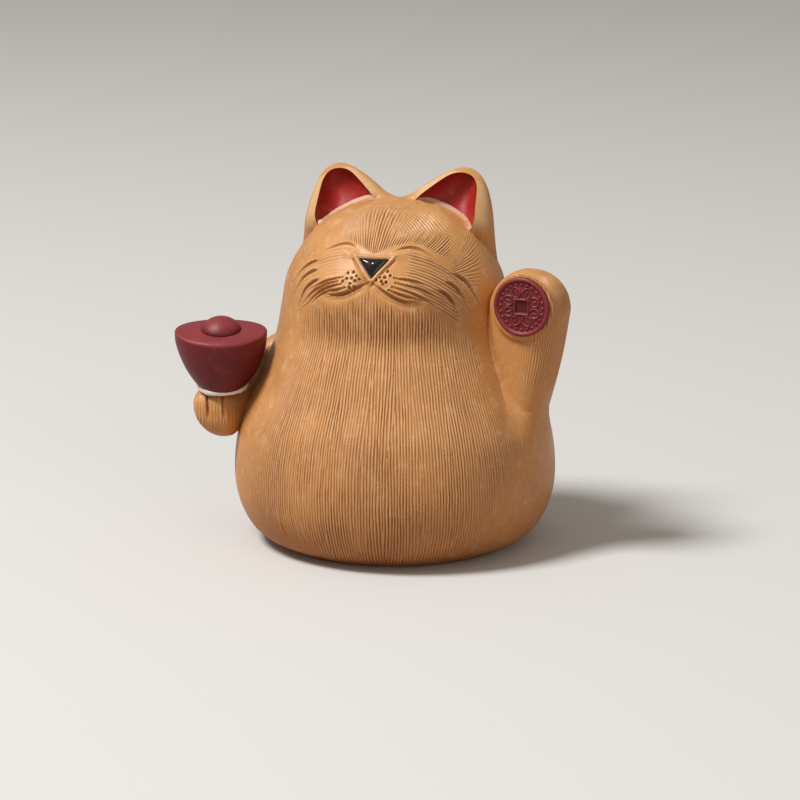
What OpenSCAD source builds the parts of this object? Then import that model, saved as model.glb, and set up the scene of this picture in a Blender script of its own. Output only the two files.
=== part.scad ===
// Beckoning cat tea pet: a hollow figure of pressed and luted clay, fired, with coloured clay trim.
// The cat faces -Y, its right paw (on -X) holds an ingot and its left paw (on +X) is raised with a coin.
// Millimetres, +Z up, with the origin at the middle of the foot. Angles round the body start at the front.

/* [Body] */
// Radius of the foot ring that stands on the table
foot_r = 23; // [21:0.5:25]
// Radius of the belly at its widest
belly_r = 32.2; // [30:0.1:35]
// Height of the widest part of the belly
belly_z = 16; // [14:0.5:18]
// Radius of the neck
neck_r = 23.9; // [23:0.1:26]
// Height of the neck
neck_z = 41.5; // [39:0.5:43]
// Radius of the head
head_r = 22.6; // [21:0.1:24]
// Height of the middle of the head
head_z = 47; // [45:0.5:49]
// Height of the crown between the ears
crown_z = 69; // [66:0.5:72]
// Thickness of the pressed wall
wall = 3.2; // [2.4:0.1:4]

/* [Face] */
// Swell of the cheeks
cheek_swell = 0.9; // [0.2:0.1:1.6]
// Swell of the two whisker pads
pad_swell = 0.5; // [0.2:0.1:1]
// Hollow under the chin
chin_hollow = 0.8; // [0.2:0.1:1.4]
// Width of the nose bead
nose_w = 7; // [5:0.1:8]
// Height of the nose bead
nose_h = 4.8; // [3.8:0.1:5.6]
// Height that the nose bead stands proud of the face
nose_proud = 1.1; // [0.6:0.1:1.6]
// Rise of the nose above the middle of the head, as an angle
nose_rise = 33; // [28:1:40]
// Height of the cheeks above the middle of the head
cheek_up = 6.5; // [5:0.1:8]
// Height of the whisker pads above the middle of the head
pad_up = 9; // [7.5:0.1:10]
// Depth of the chin hollow below the middle of the head
chin_down = 2.5; // [1:0.1:4]

/* [Base] */
// Thickness of the base slab
base_t = 3; // [2:0.1:4]
// Diameter of the vent hole
vent_d = 3; // [2:0.1:3.8]
// Distance of the vent hole behind the middle
vent_back = 8; // [4:0.5:14]
// Gap of the slip joint round the base slab
slip_gap = 0.1; // [0.05:0.05:0.3]

/* [Ears] */
// Height of an ear above its root
ear_h = 10.6; // [9:0.1:12.4]
// Half width of an ear's root on its outer side
ear_out = 9.8; // [9.2:0.1:11.2]
// Half width of an ear's root on its inner side
ear_in = 9.4; // [8.4:0.1:10.4]
// Half depth of an ear's root behind its ridge
ear_back = 6.3; // [5.4:0.1:7.2]
// Half depth of an ear's root in front of its ridge
ear_front = 7.2; // [6.8:0.1:8.4]
// Rounding of an ear's tip seen from the front
ear_side_round = 12; // [8:0.5:16]
// Rounding of an ear's tip at the back
ear_back_round = 1.5; // [1:0.1:2.5]
// Rounding of an ear's tip at the front
ear_front_round = 1.5; // [1:0.1:3]
// Spread of the clay where an ear is smoothed into the head
ear_flare = 3.6; // [2.6:0.1:4.2]
// Spread of that clay down the side of the head
ear_apron = 7.9; // [6:0.1:9]
// Thickness of the rim on the inner side of the ear cup
ear_rim = 2.5; // [1.8:0.1:3.2]
// Thickness of the flank on the outer side of the ear cup
ear_flank = 4.3; // [3.8:0.1:5.4]
// Depth of the ear cup
cup_d = 7.4; // [5.6:0.1:7.8]
// Thickness of the red lining in the cup
lining_t = 0.8; // [0.5:0.1:1.2]
// Direction of the ear root round the head
ear_turn = 110; // [104:1:116]
// Rise of the ear root above the middle of the head, as an angle
ear_rise = 59; // [54:1:64]
// Backward lean of an ear
ear_lean = 18; // [12:1:24]

/* [Arms] */
// Direction of both arms round the body
arm_turn = 77.5; // [70:0.5:84]
// Height of the top of the raised paw
paw_top = 57.3; // [53:0.1:60]
// Width of the raised paw
paw_w = 15.2; // [13:0.1:18]
// Depth of the raised paw
paw_d = 13; // [11:0.1:14]
// Width of the raised arm at its elbow
elbow_w = 10.8; // [9:0.1:13]
// Height of the elbow
elbow_z = 24.8; // [23:0.1:28]
// Depth that the raised paw is pressed against the side of the head
paw_sink = 0.9; // [0.4:0.1:1.4]
// Height of the shoulder of the arm that holds the ingot
shoulder_z = 40; // [38:0.5:43]
// Height of the paw that holds the ingot
palm_h = 11; // [9:0.1:13]
// Depth of the paw that holds the ingot
palm_d = 10.8; // [9:0.1:12]
// Height of the seat on that paw
palm_z = 31.6; // [29:0.1:33]
// Distance of that paw in front of its arm
palm_fwd = 3.5; // [2.5:0.1:4.5]

/* [Ingot] */
// Length of the ingot over its rim
ingot_l = 18.4; // [15:0.1:22]
// Width of the ingot over its rim
ingot_w = 13.4; // [11:0.1:15]
// Height of the ingot at the middle of its rim
ingot_h = 11.6; // [9:0.1:13]
// Lift of the two ends of the rim
ingot_lift = 0.6; // [0.2:0.1:1.5]
// Radius of the ingot's foot
ingot_foot_r = 4.9; // [4:0.1:5.6]
// Rise of the crowned top above the middle of the rim
ingot_crown = 0.8; // [0.3:0.1:1.4]
// Gap between the ingot's rim and the body
ingot_gap = 1.7; // [1:0.1:3]
// Forward lean of the ingot
ingot_lean = 11; // [5:1:20]
// Radius of the dome on the ingot
dome_r = 4.2; // [3.4:0.1:4.6]
// Height of the dome
dome_h = 2.5; // [2:0.1:3.4]
// Width of the white slip bead round the ingot's foot
bead_w = 0.3; // [0.2:0.1:0.8]
// Height of that bead
bead_h = 0.9; // [0.6:0.1:1.4]

/* [Coin] */
// Diameter of the coin
coin_d = 11.6; // [10:0.1:13]
// Thickness of the coin at its rim
coin_t = 1.8; // [1.2:0.1:2.4]
// Width of the raised rim
coin_rim = 0.9; // [0.6:0.1:1.4]
// Depth of the field inside the rim
coin_field = 0.4; // [0.2:0.05:0.6]
// Side of the sunk square
coin_square = 2.4; // [1.6:0.1:3]
// Height of the middle of the coin
coin_z = 51.1; // [48:0.1:53]
// Depth that the coin is pressed into the paw
coin_inset = 0.9; // [0.5:0.1:1.2]
// Distance of the coin from the middle of the paw, away from the head
coin_shift = 1.1; // [0:0.1:1.5]
// Width of the clay drawn up round the coin
collar_w = 0.6; // [0.4:0.1:1]
// Height of that clay above the back of the coin
collar_h = 0.9; // [0.5:0.1:1.2]
// Depth of that clay behind the coin
collar_d = 4; // [3:0.1:5]

/* [Tail] */
// Reach of the tail behind the body
tail_reach = 5.6; // [4:0.1:8]
// Thickness of the tail at its root
tail_w = 9; // [7:0.1:11]
// Height of the tail's root
tail_z = 10; // [8:0.5:13]

/* [Hidden] */

clay = "#cf9f62";
red_slip = "#a8403c";
maroon_clay = "#7c3038";
white_slip = "#d8cfc6";
black_glaze = "#141014";

$fn = 64;
cut = 1;                      // overrun of a cutting shape
steps = 3;                    // rings of the skin between two points of the meridian
half_sides = 36;              // facets of the skin round half of the body
ring_sides = 24;              // facets round a limb
top_rise = crown_z - head_z;  // half the height of the head
seat_r = foot_r - wall;       // radius of the opening that takes the base slab

// Outline of the body from the foot to the crown, as radius and height
neck_drop = belly_r - neck_r;
waist_rise = neck_z - belly_z;
head_angles = [2.6, 21.3, 44, 67];
meridian = concat(
    [
        [foot_r, 0],
        [foot_r + 0.59 * (belly_r - foot_r), 0.2 * belly_z],
        [belly_r - 0.08 * (belly_r - foot_r), 0.56 * belly_z],
        [belly_r, belly_z],
        [belly_r - 0.17 * neck_drop, belly_z + 0.35 * waist_rise],
        [belly_r - 0.64 * neck_drop, belly_z + 0.7 * waist_rise],
        [neck_r, neck_z]
    ],
    [for (a = head_angles) [head_r * cos(a), head_z + top_rise * sin(a)]],
    [[0, crown_z]]
);
spans = len(meridian) - 1;
rings = spans * steps;

// Points before the first and after the last of the meridian, which set the slopes of its ends
function knot(i) =
    i < 0 ? 2 * meridian[0] - meridian[1] :
    i > spans ? [-meridian[spans - 1][0], meridian[spans - 1][1]] :
    meridian[i];

// Catmull-Rom curve through four points
function curve(a, b, c, d, t) =
    0.5 * (2 * b + (c - a) * t + (2 * a - 5 * b + 4 * c - d) * t * t + (3 * b - a - 3 * c + d) * t * t * t);

// Point of the meridian, s counted in its points
function outline(s) =
    let (i = min(floor(s), spans - 1))
    curve(knot(i - 1), knot(i), knot(i + 1), knot(i + 2), s - i);

// Outward normal of the meridian
function outward(s) =
    let (h = 0.02, d = outline(min(s + h, spans)) - outline(max(s - h, 0)))
    [d[1], -d[0]] / norm(d);

// Place along the meridian of a height, and the radius of the body there
height_table = [for (i = [0 : rings]) [outline(i / steps)[1], i / steps]];
function station(z) = lookup(z, height_table);
function body_r(z) = outline(station(z))[0];

// Soft swelling of the face round an angle and a height
function swell(turn, z, at_turn, at_z, wide) =
    exp(-pow((turn - at_turn) / wide[0], 2) - pow((z - at_z) / wide[1], 2));
cheek_turn = 24;
pad_turn = 9;
cheek_wide = [15, 0.205 * top_rise];  // angle and height over which a cheek fades out
pad_wide = [8, 0.127 * top_rise];
chin_wide = [45, 0.16 * top_rise];
function swell_pair(turn, z, at_turn, at_z, wide) =
    swell(turn, z, at_turn, at_z, wide) + swell(turn, z, -at_turn, at_z, wide);
function face(turn, z) =
    cheek_swell * swell_pair(turn, z, cheek_turn, head_z + cheek_up, cheek_wide)
    + pad_swell * swell_pair(turn, z, pad_turn, head_z + pad_up, pad_wide)
    - chin_hollow * swell(turn, z, 0, head_z - chin_down, chin_wide);

// Point of the skin at ring i and side j; j runs from the cat's right seam round the front
function turn_of(j) = -90 + j * 180 / half_sides;
function skin(i, j) =
    let (s = i / steps, p = outline(s), turn = turn_of(j))
    let (q = abs(turn) < 90 ? p + face(turn, p[1]) * outward(s) : p)
    [q[0] * sin(turn), -q[0] * cos(turn), q[1]];

// Two triangles of a quad, split alike on the left and the right of the body
function split(a, b, c, d, right) = right ? [[a, b, c], [a, c, d]] : [[a, b, d], [b, c, d]];
function flat_list(l) = [for (part = l) each part];

// Solid wedge of the body between two rings and two sides, closed at its axis
module skin_wedge(i0, i1, j0, j1) {
    to_crown = i1 == rings;
    rows = to_crown ? i1 - i0 : i1 - i0 + 1;
    cols = j1 - j0 + 1;
    axis = rows * cols;
    function at(i, j) = to_crown && i == rows ? axis + rows : i * cols + j;
    function right(j) = sin(turn_of(j0 + j + 0.5)) > 0;
    points = concat(
        [for (i = [0 : rows - 1]) for (j = [0 : cols - 1]) skin(i0 + i, j0 + j)],
        [for (i = [i0 : i1]) [0, 0, outline(i / steps)[1]]]
    );
    wall_faces = flat_list([
        for (i = [0 : rows - 2]) for (j = [0 : cols - 2])
            split(at(i, j), at(i + 1, j), at(i + 1, j + 1), at(i, j + 1), right(j))
    ]);
    top_faces = [
        for (j = [0 : cols - 2])
            to_crown ? [at(rows - 1, j), axis + rows, at(rows - 1, j + 1)]
                     : [axis + rows - 1, at(rows - 1, j + 1), at(rows - 1, j)]
    ];
    foot_faces = [for (j = [0 : cols - 2]) [axis, at(0, j), at(0, j + 1)]];
    side_faces = flat_list([
        for (i = [0 : rows - 2])
            [
                [axis + i, axis + i + 1, at(i + 1, 0)],
                [axis + i, at(i + 1, 0), at(i, 0)],
                [axis + i, at(i, cols - 1), at(i + 1, cols - 1)],
                [axis + i, at(i + 1, cols - 1), axis + i + 1]
            ]
    ]);
    crown_faces = to_crown
        ? [[axis + rows - 1, axis + rows, at(rows - 1, 0)],
           [axis + rows - 1, at(rows - 1, cols - 1), axis + rows]]
        : [];
    polyhedron(points, concat(wall_faces, top_faces, foot_faces, side_faces, crown_faces));
}

// Part of the body between two heights and two angles, to seat a piece on its skin
module seat(z0, z1, turn0, turn1) {
    side = 180 / half_sides;
    skin_wedge(
        floor(station(z0) * steps),
        min(ceil(station(z1) * steps), rings),
        floor((turn0 + 90) / side),
        ceil((turn1 + 90) / side)
    );
}

// Hollow of the body and the opening for the base slab
module hollow() {
    inner = [
        for (i = [2 : spans - 1])
            let (p = outline(i) - wall * outward(i))
            [p[0], p[1]]
    ];
    rotate_extrude()
        polygon(concat(
            [[0, -cut], [seat_r, -cut], [seat_r, base_t]],
            inner,
            [[0, crown_z - wall]]
        ));
}

module body_front_half() {
    color(clay) difference() {
        skin_wedge(0, rings, 0, half_sides);
        hollow();
    }
}

module body_back_half() {
    color(clay) difference() {
        skin_wedge(0, rings, half_sides, 2 * half_sides);
        hollow();
    }
}

module base_disc() {
    color(clay) difference() {
        cylinder(r = seat_r - slip_gap, h = base_t);
        translate([0, vent_back, -cut]) cylinder(d = vent_d, h = base_t + 2 * cut);
    }
}

// Closed solid through rings of equal length, each counter-clockwise seen from the next
module loft(sections) {
    n = len(sections[0]);
    last = len(sections) - 1;
    function middle(ring) = [for (k = [0 : 2]) [for (p = ring) p[k]] * [for (p = ring) 1] / n];
    function at(i, j) = i * n + j % n;
    points = concat(flat_list(sections), [middle(sections[0]), middle(sections[last])]);
    side_faces = flat_list([
        for (i = [0 : last - 1]) for (j = [0 : n - 1])
            split(at(i, j), at(i + 1, j), at(i + 1, j + 1), at(i, j + 1), true)
    ]);
    caps = flat_list([
        for (j = [0 : n - 1])
            [
                [(last + 1) * n, at(0, j), at(0, j + 1)],
                [(last + 1) * n + 1, at(last, j + 1), at(last, j)]
            ]
    ]);
    polyhedron(points, concat(side_faces, caps));
}

// Rounded ring about a middle, along two directions, with half sizes a and b; power 2 is an ellipse
function bend(x, power) = sign(x) * pow(abs(x), 2 / power);
function ring(middle, u, v, a, b, power = 2) = [
    for (k = [0 : ring_sides - 1])
        let (t = 360 * k / ring_sides)
        middle + a * bend(cos(t), power) * u + b * bend(sin(t), power) * v
];

// Row of control values along a limb, read smoothly
function row_at(rows, s) =
    let (last = len(rows) - 1, i = min(floor(s), last - 1))
    curve(
        i > 0 ? rows[i - 1] : 2 * rows[0] - rows[1],
        rows[i],
        rows[i + 1],
        i + 2 <= last ? rows[i + 2] : 2 * rows[last] - rows[last - 1],
        s - i
    );

// Ear: a rounded horn with a cup in its front; w runs to the outer side, v to the back and u up the ear
ear_tilt = 23;
ear_w_dir = [cos(ear_tilt), 0, -sin(ear_tilt)];
ear_u_dir = [sin(ear_tilt) * cos(ear_lean), sin(ear_lean), cos(ear_tilt) * cos(ear_lean)];
ear_v_dir = cross(ear_u_dir, ear_w_dir);
head_mid = [0, 0, head_z];
ear_sink = 0.05;
ear_root =
    head_mid
    + (1 - ear_sink) * [
        head_r * cos(ear_rise) * sin(ear_turn),
        -head_r * cos(ear_rise) * cos(ear_turn),
        top_rise * sin(ear_rise)
    ];
cup_top = 0.82;
cup_arch = 11;                // power that rounds the top of the cup
cup_least = 0.15;             // least width of the closed cup, as a share of the ear's side
flank_taper = 0.3;            // share of the flank's thickness that is lost at the top of the cup
ear_foot = 0.22;
apron_fill = 0.8;             // share of the hollow above the apron that is filled with clay
ear_levels = [0.36, 0.51, 0.65, 0.77, 0.87, 0.945, 0.985];
blend_steps = [0, 0.4, 0.75, 1];

// Half size of a horn at a share of its height, from its half size at the root, with a rounded tip
function horn(half, round_off, share) =
    let (slope = norm([half, round_off]) - round_off)
    sqrt(pow(slope * (1 - share) + round_off, 2) - pow(round_off, 2));
function ear_side(x, share) = horn(x > 0 ? ear_out : ear_in, ear_side_round, share);
function cup_edge(x, share) =
    let (
        arch = sqrt(max(1 - pow(share / cup_top, cup_arch), 0)),
        wall = x > 0 ? ear_flank * (1 - flank_taper * share / cup_top) : ear_rim
    )
    max(arch * (1 - wall / ear_side(x, share)), cup_least);
function cup_depth(share) = share < cup_top ? cup_d * pow(1 - pow(share / cup_top, 2), 0.6) : 0;

// Points of an ear's section as [across, back, spread]; across is a share of the side's half size
back_angles = [for (k = [0 : 12]) 15 * k];
cup_shares = [for (k = [0 : 10]) -cos(18 * k)];
lip_shares = [0.4, 0.75];
function front_face(x, share) = -horn(ear_front, ear_front_round, share) * sqrt(max(1 - x * x, 0));
function cup_point(c, share) =
    let (x = c * cup_edge(c, share))
    [x, front_face(x, share) + cup_depth(share) * sqrt(max(1 - c * c, 0))];
function lip_point(c, share, lip) =
    let (edge = cup_edge(c, share), x = c * (edge + lip * (1 - edge)))
    [x, front_face(x, share), lip];
function ear_section(share) = concat(
    [for (t = back_angles) [cos(t), horn(ear_back, ear_back_round, share) * sin(t), 1]],
    [for (k = [1, 0]) lip_point(-1, share, lip_shares[k])],
    [for (c = cup_shares) concat(cup_point(c, share), 0)],
    [for (k = [0, 1]) lip_point(1, share, lip_shares[k])]
);
function ear_place(p, share, spread) =
    ear_root
    + ear_h * share * ear_u_dir
    + p[0] * (ear_side(p[0], share) + spread) * ear_w_dir
    + (p[1] + spread * sqrt(max(1 - p[0] * p[0], 0))) * ear_v_dir;

// Point pulled onto the head, sunk by a share of its radius
function on_head(p, sink) =
    let (d = p - head_mid)
    head_mid + (1 - sink) * d / norm([d[0] / head_r, d[1] / head_r, d[2] / top_rise]);
function foot_ring(low, high, t) = [
    for (k = [0 : len(low) - 1])
        let (
            p = low[k],
            outer = pow(max(p[0], 0), 2),
            spread = ear_flare + (ear_apron - ear_flare) * outer,
            a = on_head(ear_place(p, 0, p[2] * spread), ear_sink),
            c = ear_place(high[k], ear_foot, 0),
            root = on_head(ear_place(p, 0, 0), 0),
            b = root + apron_fill * outer * p[2] * ((a + c) / 2 - root)
        )
        (1 - t) * (1 - t) * a + 2 * t * (1 - t) * b + t * t * c
];
function level_points(section, share) = [for (p = section) ear_place(p, share, 0)];

module ear() {
    difference() {
        loft(concat(
            [for (t = blend_steps) foot_ring(ear_section(0), ear_section(ear_foot), t)],
            [for (share = ear_levels) level_points(ear_section(share), share)]
        ));
        ear_seat(ear_seat_turn, ear_seat_low);
    }
}

// Red lining on the wall of the cup, thinning to its edge
lining_levels = cup_top * [0.45, 0.62, 0.77, 0.9, 0.97];
function lining_section(share) = concat(
    [for (k = [10 : -1 : 0]) concat(cup_point(cup_shares[k], share), 0)],
    [
        for (c = cup_shares)
            let (p = cup_point(c, share), t = lining_t * (0.25 + 0.75 * sqrt(max(1 - c * c, 0))))
            [p[0], p[1] - t, 0]
    ]
);
module ear_lining() {
    difference() {
        loft(concat(
            [for (t = blend_steps) foot_ring(lining_section(0), lining_section(ear_foot), t)],
            [for (share = lining_levels) level_points(lining_section(share), share)]
        ));
        ear_seat(lining_seat_turn, lining_seat_low);
    }
}

// Part of the body under an ear or its lining, from a height to the crown;
// under the ear it passes the middle of the crown
ear_seat_turn = 118;
lining_seat_turn = 68;
ear_seat_low = head_z + 0.27 * top_rise;
lining_seat_low = head_z + 0.3 * top_rise;
module ear_seat(half_turn, low) {
    seat(low, crown_z, ear_turn - half_turn, ear_turn + half_turn);
}

module left_ear() { color(clay) ear(); }
module right_ear() { color(clay) mirror([1, 0, 0]) ear(); }
module left_ear_lining() { color(red_slip) ear_lining(); }
module right_ear_lining() { color(red_slip) mirror([1, 0, 0]) ear_lining(); }

// Nose: a rounded three-cornered bead, point down
nose_levels = [-0.9, 0, 0.42, 0.74, 0.94];
nose_seat_turn = 15;
nose_brow = 0.36 * nose_h;           // height of its straight top above its middle
nose_lean = atan2(nose_w / 2, nose_h);
nose_side = (nose_h - nose_brow) * sin(nose_lean);
nose_edges = [[90, nose_brow], [-nose_lean, nose_side], [180 + nose_lean, nose_side]];
nose_corner = 10;                    // power that rounds the corners where two edges meet
function nose_reach(t) =
    let (pulls = [for (edge = nose_edges) pow(max(cos(t - edge[0]) / edge[1], 0), nose_corner)])
    pow(pulls * [1, 1, 1], -1 / nose_corner);
module nose() {
    up = [0, sin(nose_rise), cos(nose_rise)];
    out = [0, -cos(nose_rise), sin(nose_rise)];
    middle = [0, -head_r * cos(nose_rise), head_z + top_rise * sin(nose_rise)];
    function nose_ring(h) = [
        for (k = [0 : ring_sides - 1])
            let (
                t = 360 * k / ring_sides,
                reach = nose_reach(t) * (h > 0 ? sqrt(1 - h * h) : 1)
            )
            middle + reach * cos(t) * [1, 0, 0] + reach * sin(t) * up + h * nose_proud * out
    ];
    color(black_glaze) difference() {
        loft([for (h = nose_levels) nose_ring(h)]);
        seat(head_z + 0.22 * top_rise, crown_z - 0.14 * top_rise, -nose_seat_turn, nose_seat_turn);
    }
}

// Both arms stand in an upright plane at arm_turn; x runs outward there and y to the back
module arm_plane() {
    rotate([0, 0, arm_turn - 90]) children();
}

// Part of the body under an arm, in the arm's plane
arm_seat_turn = 35;
module arm_seat() {
    rotate([0, 0, 90 - arm_turn])
        seat(elbow_z - elbow_w, head_z + 0.6 * top_rise, arm_turn - arm_seat_turn, arm_turn + arm_seat_turn);
}

// Raised arm, in level rings: height, distance out, half width, half depth
paw_out = head_r - paw_sink + paw_w / 2;
paw_level = paw_top - 0.52 * paw_w;
elbow_out = body_r(elbow_z) - 0.48 * elbow_w;
arm_mid_z = elbow_z + 0.57 * (paw_level - elbow_z);
paw_power = 2.8;                     // squareness of the raised arm's rings
raised_rows = [
    [elbow_z - 0.74 * elbow_w, elbow_out - 0.2 * elbow_w, 0.3 * elbow_w, 0.3 * elbow_w],
    [elbow_z, elbow_out, 0.5 * elbow_w, 0.5 * elbow_w],
    [arm_mid_z, 0.33 * elbow_out + 0.67 * paw_out, 0.46 * paw_w, 0.45 * paw_d],
    [paw_level, paw_out, 0.5 * paw_w, 0.5 * paw_d]
];
tip_angles = [24, 46, 64, 79];
function level_ring(r, shrink, z) =
    ring([r[1], 0, z], [1, 0, 0], [0, 1, 0], shrink * r[2], shrink * r[3], paw_power);
module raised_arm() {
    top = raised_rows[3];
    color(clay) arm_plane() difference() {
        union() {
            loft(concat(
                [for (s = [0 : 1 / 3 : 3]) let (r = row_at(raised_rows, s)) level_ring(r, 1, r[0])],
                [for (a = tip_angles) level_ring(top, cos(a), paw_level + (paw_top - paw_level) * sin(a))]
            ));
            coin_place() translate([0, 0, -collar_d])
                cylinder(d1 = coin_d, d2 = coin_d + 2 * collar_w, h = collar_d + collar_h);
        }
        arm_seat();
        coin_place() cylinder(d = coin_d + 2 * slip_gap, h = paw_d);
    }
}

// Seat of the coin on the front of the raised paw, with z out of the coin
module coin_place() {
    translate([paw_out + coin_shift, coin_inset - 0.5 * paw_d, coin_z]) rotate([90, 0, 0]) children();
}

module coin() {
    field_t = coin_t - coin_field;
    color(maroon_clay) arm_plane() coin_place() difference() {
        cylinder(d = coin_d, h = coin_t);
        translate([0, 0, field_t]) cylinder(d = coin_d - 2 * coin_rim, h = coin_t);
        translate([0, 0, field_t]) cube([coin_square, coin_square, coin_t], center = true);
    }
}

// Arm that holds the ingot, mirrored to the cat's right, in rings across its run:
// distance out, back, height, half height, half depth, slope of the run
palm_out = body_r(palm_z + ingot_h) + ingot_gap + ingot_l / 2;
palm_mid = palm_z + bead_h - palm_h / 2;
arm_back = ingot_w / 2 + 0.093 * palm_d - palm_fwd;
arm_out = body_r(shoulder_z);
elbow_mid = (palm_out + body_r(palm_z)) / 2 - 0.22 * palm_d;
ingot_rows = [
    [arm_out - 0.28 * palm_d, arm_back - 0.05 * palm_d, shoulder_z, 0.2 * palm_h, 0.24 * palm_d, -45],
    [arm_out + 0.15 * palm_d, arm_back, shoulder_z - 0.45 * palm_h, 0.34 * palm_h, 0.38 * palm_d, -42],
    [elbow_mid, arm_back, palm_mid + 0.38 * palm_h, 0.42 * palm_h, 0.39 * palm_d, -34],
    [palm_out - 0.055 * palm_d, 0.09 * palm_d - palm_fwd, palm_mid, 0.5 * palm_h, 0.5 * palm_d, -14],
    [palm_out + 0.22 * palm_d, -palm_fwd, palm_mid + 0.07 * palm_h, 0.44 * palm_h, 0.47 * palm_d, -4]
];
palm_tip = 0.31 * palm_h;
function arm_ring(r, shrink, along) =
    ring(
        [r[0] + along * cos(r[5]), r[1], r[2] + along * sin(r[5])],
        [0, 1, 0],
        [-sin(r[5]), 0, cos(r[5])],
        shrink * r[4],
        shrink * r[3],
        2.5
    );
module ingot_arm() {
    color(clay) mirror([1, 0, 0]) arm_plane() difference() {
        loft(concat(
            [for (s = [0 : 1 / 3 : 4]) arm_ring(row_at(ingot_rows, s), 1, 0)],
            [for (a = tip_angles) arm_ring(ingot_rows[4], cos(a), palm_tip * sin(a))]
        ));
        arm_seat();
        palm_place() cylinder(r = ingot_foot_r + bead_w + slip_gap, h = ingot_h);
    }
}

// Seat on the paw, leaning forward with the ingot
module palm_place() {
    translate([palm_out, -palm_fwd, palm_z]) rotate([ingot_lean, 0, 0]) children();
}

// Boat-shaped ingot with a straight foot, round sides, a lifted rim and a crowned top
ingot_levels = [0, 0.09, 0.24, 0.46, 0.74, 1];
ingot_top = [[0.95, 0.3], [0.8, 0.75], [0.55, 1]];
dome_seat = ingot_h + ingot_crown;
function ingot_ring(rise) = [
    for (k = [0 : ring_sides - 1])
        let (
            t = 360 * k / ring_sides,
            swell = pow(sin(90 * rise), 0.8),
            x = (ingot_foot_r + (ingot_l / 2 - ingot_foot_r) * swell) * cos(t),
            y = (ingot_foot_r + (ingot_w / 2 - ingot_foot_r) * swell) * sin(t)
        )
        [x, y, bead_h + (ingot_h - bead_h) * rise + ingot_lift * rise * cos(t) * cos(t)]
];
function crowned(share, rise) = [
    for (p = ingot_ring(1))
        [share * p[0], share * p[1], p[2] + rise * (dome_seat - p[2])]
];
function round_foot(r) = [
    for (k = [0 : ring_sides - 1])
        let (t = 360 * k / ring_sides)
        [r * cos(t), r * sin(t), 0]
];
module ingot_blank() {
    loft(concat(
        [round_foot(ingot_foot_r)],
        [for (h = ingot_levels) ingot_ring(h)],
        [for (t = ingot_top) crowned(t[0], t[1])]
    ));
}

module ingot() {
    color(maroon_clay) mirror([1, 0, 0]) arm_plane() palm_place() ingot_blank();
}

module ingot_dome() {
    sphere_r = (dome_r * dome_r + dome_h * dome_h) / (2 * dome_h);
    color(maroon_clay) mirror([1, 0, 0]) arm_plane() palm_place() translate([0, 0, dome_seat]) difference() {
        translate([0, 0, dome_h - sphere_r]) sphere(r = sphere_r);
        translate([0, 0, -2 * sphere_r]) cylinder(r = 2 * sphere_r, h = 2 * sphere_r);
    }
}

// White slip bead round the ingot's foot
module slip_ring() {
    color(white_slip) mirror([1, 0, 0]) arm_plane() palm_place()
        rotate_extrude()
            polygon([
                for (a = [-90 : 15 : 90])
                    [ingot_foot_r + bead_w * cos(a), bead_h * (1 + sin(a)) / 2]
            ]);
}

// Short bobtail, curling up from the back of the body: distance out, height, half thickness
tail_seat_turn = 30;
tail_out = body_r(tail_z);
tail_rows = [
    [tail_out - 0.9 * tail_w, tail_z - 0.11 * tail_w, 0.42 * tail_w],
    [tail_out - 0.17 * tail_w, tail_z, 0.5 * tail_w],
    [tail_out + 0.4 * tail_reach, tail_z + 0.36 * tail_w, 0.46 * tail_w],
    [tail_out + 0.5 * tail_reach, tail_z + 0.78 * tail_w, 0.38 * tail_w]
];
tail_tip = 0.33 * tail_w;
module tail() {
    tip_row = tail_rows[3];
    function slope(s) =
        let (d = row_at(tail_rows, min(s + 0.05, 3)) - row_at(tail_rows, max(s - 0.05, 0)))
        atan2(d[1], d[0]);
    function tail_ring(r, lean, shrink, along) =
        ring(
            [0, r[0] + along * cos(lean), r[1] + along * sin(lean)],
            [-1, 0, 0],
            [0, -sin(lean), cos(lean)],
            shrink * r[2],
            shrink * r[2]
        );
    color(clay) difference() {
        loft(concat(
            [for (s = [0 : 1 / 3 : 3]) tail_ring(row_at(tail_rows, s), slope(s), 1, 0)],
            [for (a = tip_angles) tail_ring(tip_row, slope(3), cos(a), tail_tip * sin(a))]
        ));
        seat(0, tail_z + 1.5 * tail_w, 180 - tail_seat_turn, 180 + tail_seat_turn);
    }
}

body_front_half();
body_back_half();
base_disc();
left_ear();
right_ear();
left_ear_lining();
right_ear_lining();
nose();
raised_arm();
ingot_arm();
ingot();
ingot_dome();
slip_ring();
coin();
tail();
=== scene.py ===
import math

import bpy
import numpy as np
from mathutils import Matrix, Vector


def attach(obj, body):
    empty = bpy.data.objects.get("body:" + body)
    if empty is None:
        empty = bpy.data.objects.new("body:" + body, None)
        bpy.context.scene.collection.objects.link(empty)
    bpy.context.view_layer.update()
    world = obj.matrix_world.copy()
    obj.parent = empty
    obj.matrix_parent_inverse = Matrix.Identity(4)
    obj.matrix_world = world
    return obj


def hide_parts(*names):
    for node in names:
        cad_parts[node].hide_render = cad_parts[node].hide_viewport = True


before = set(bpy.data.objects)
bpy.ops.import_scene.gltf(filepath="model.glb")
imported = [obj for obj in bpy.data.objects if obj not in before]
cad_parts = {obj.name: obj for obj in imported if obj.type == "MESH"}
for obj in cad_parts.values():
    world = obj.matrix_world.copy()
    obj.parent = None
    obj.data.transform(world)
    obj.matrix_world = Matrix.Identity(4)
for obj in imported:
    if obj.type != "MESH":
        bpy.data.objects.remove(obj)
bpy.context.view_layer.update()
mm = 0.001               # every size below is in millimetres, and meshes are in metres
print("frame loaded")


# Shared shapes and noise

def ease(x, low, high):
    t = np.clip((x - low) / (high - low), 0, 1)   # 0 below low, 1 above high, smooth between
    return t * t * (3 - 2 * t)


def fade(x, low, high):
    return 1 - ease(x, low, high)


def hill(x, middle, width):
    return np.exp(-((x - middle) / width) ** 2)   # bell of height 1


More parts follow.
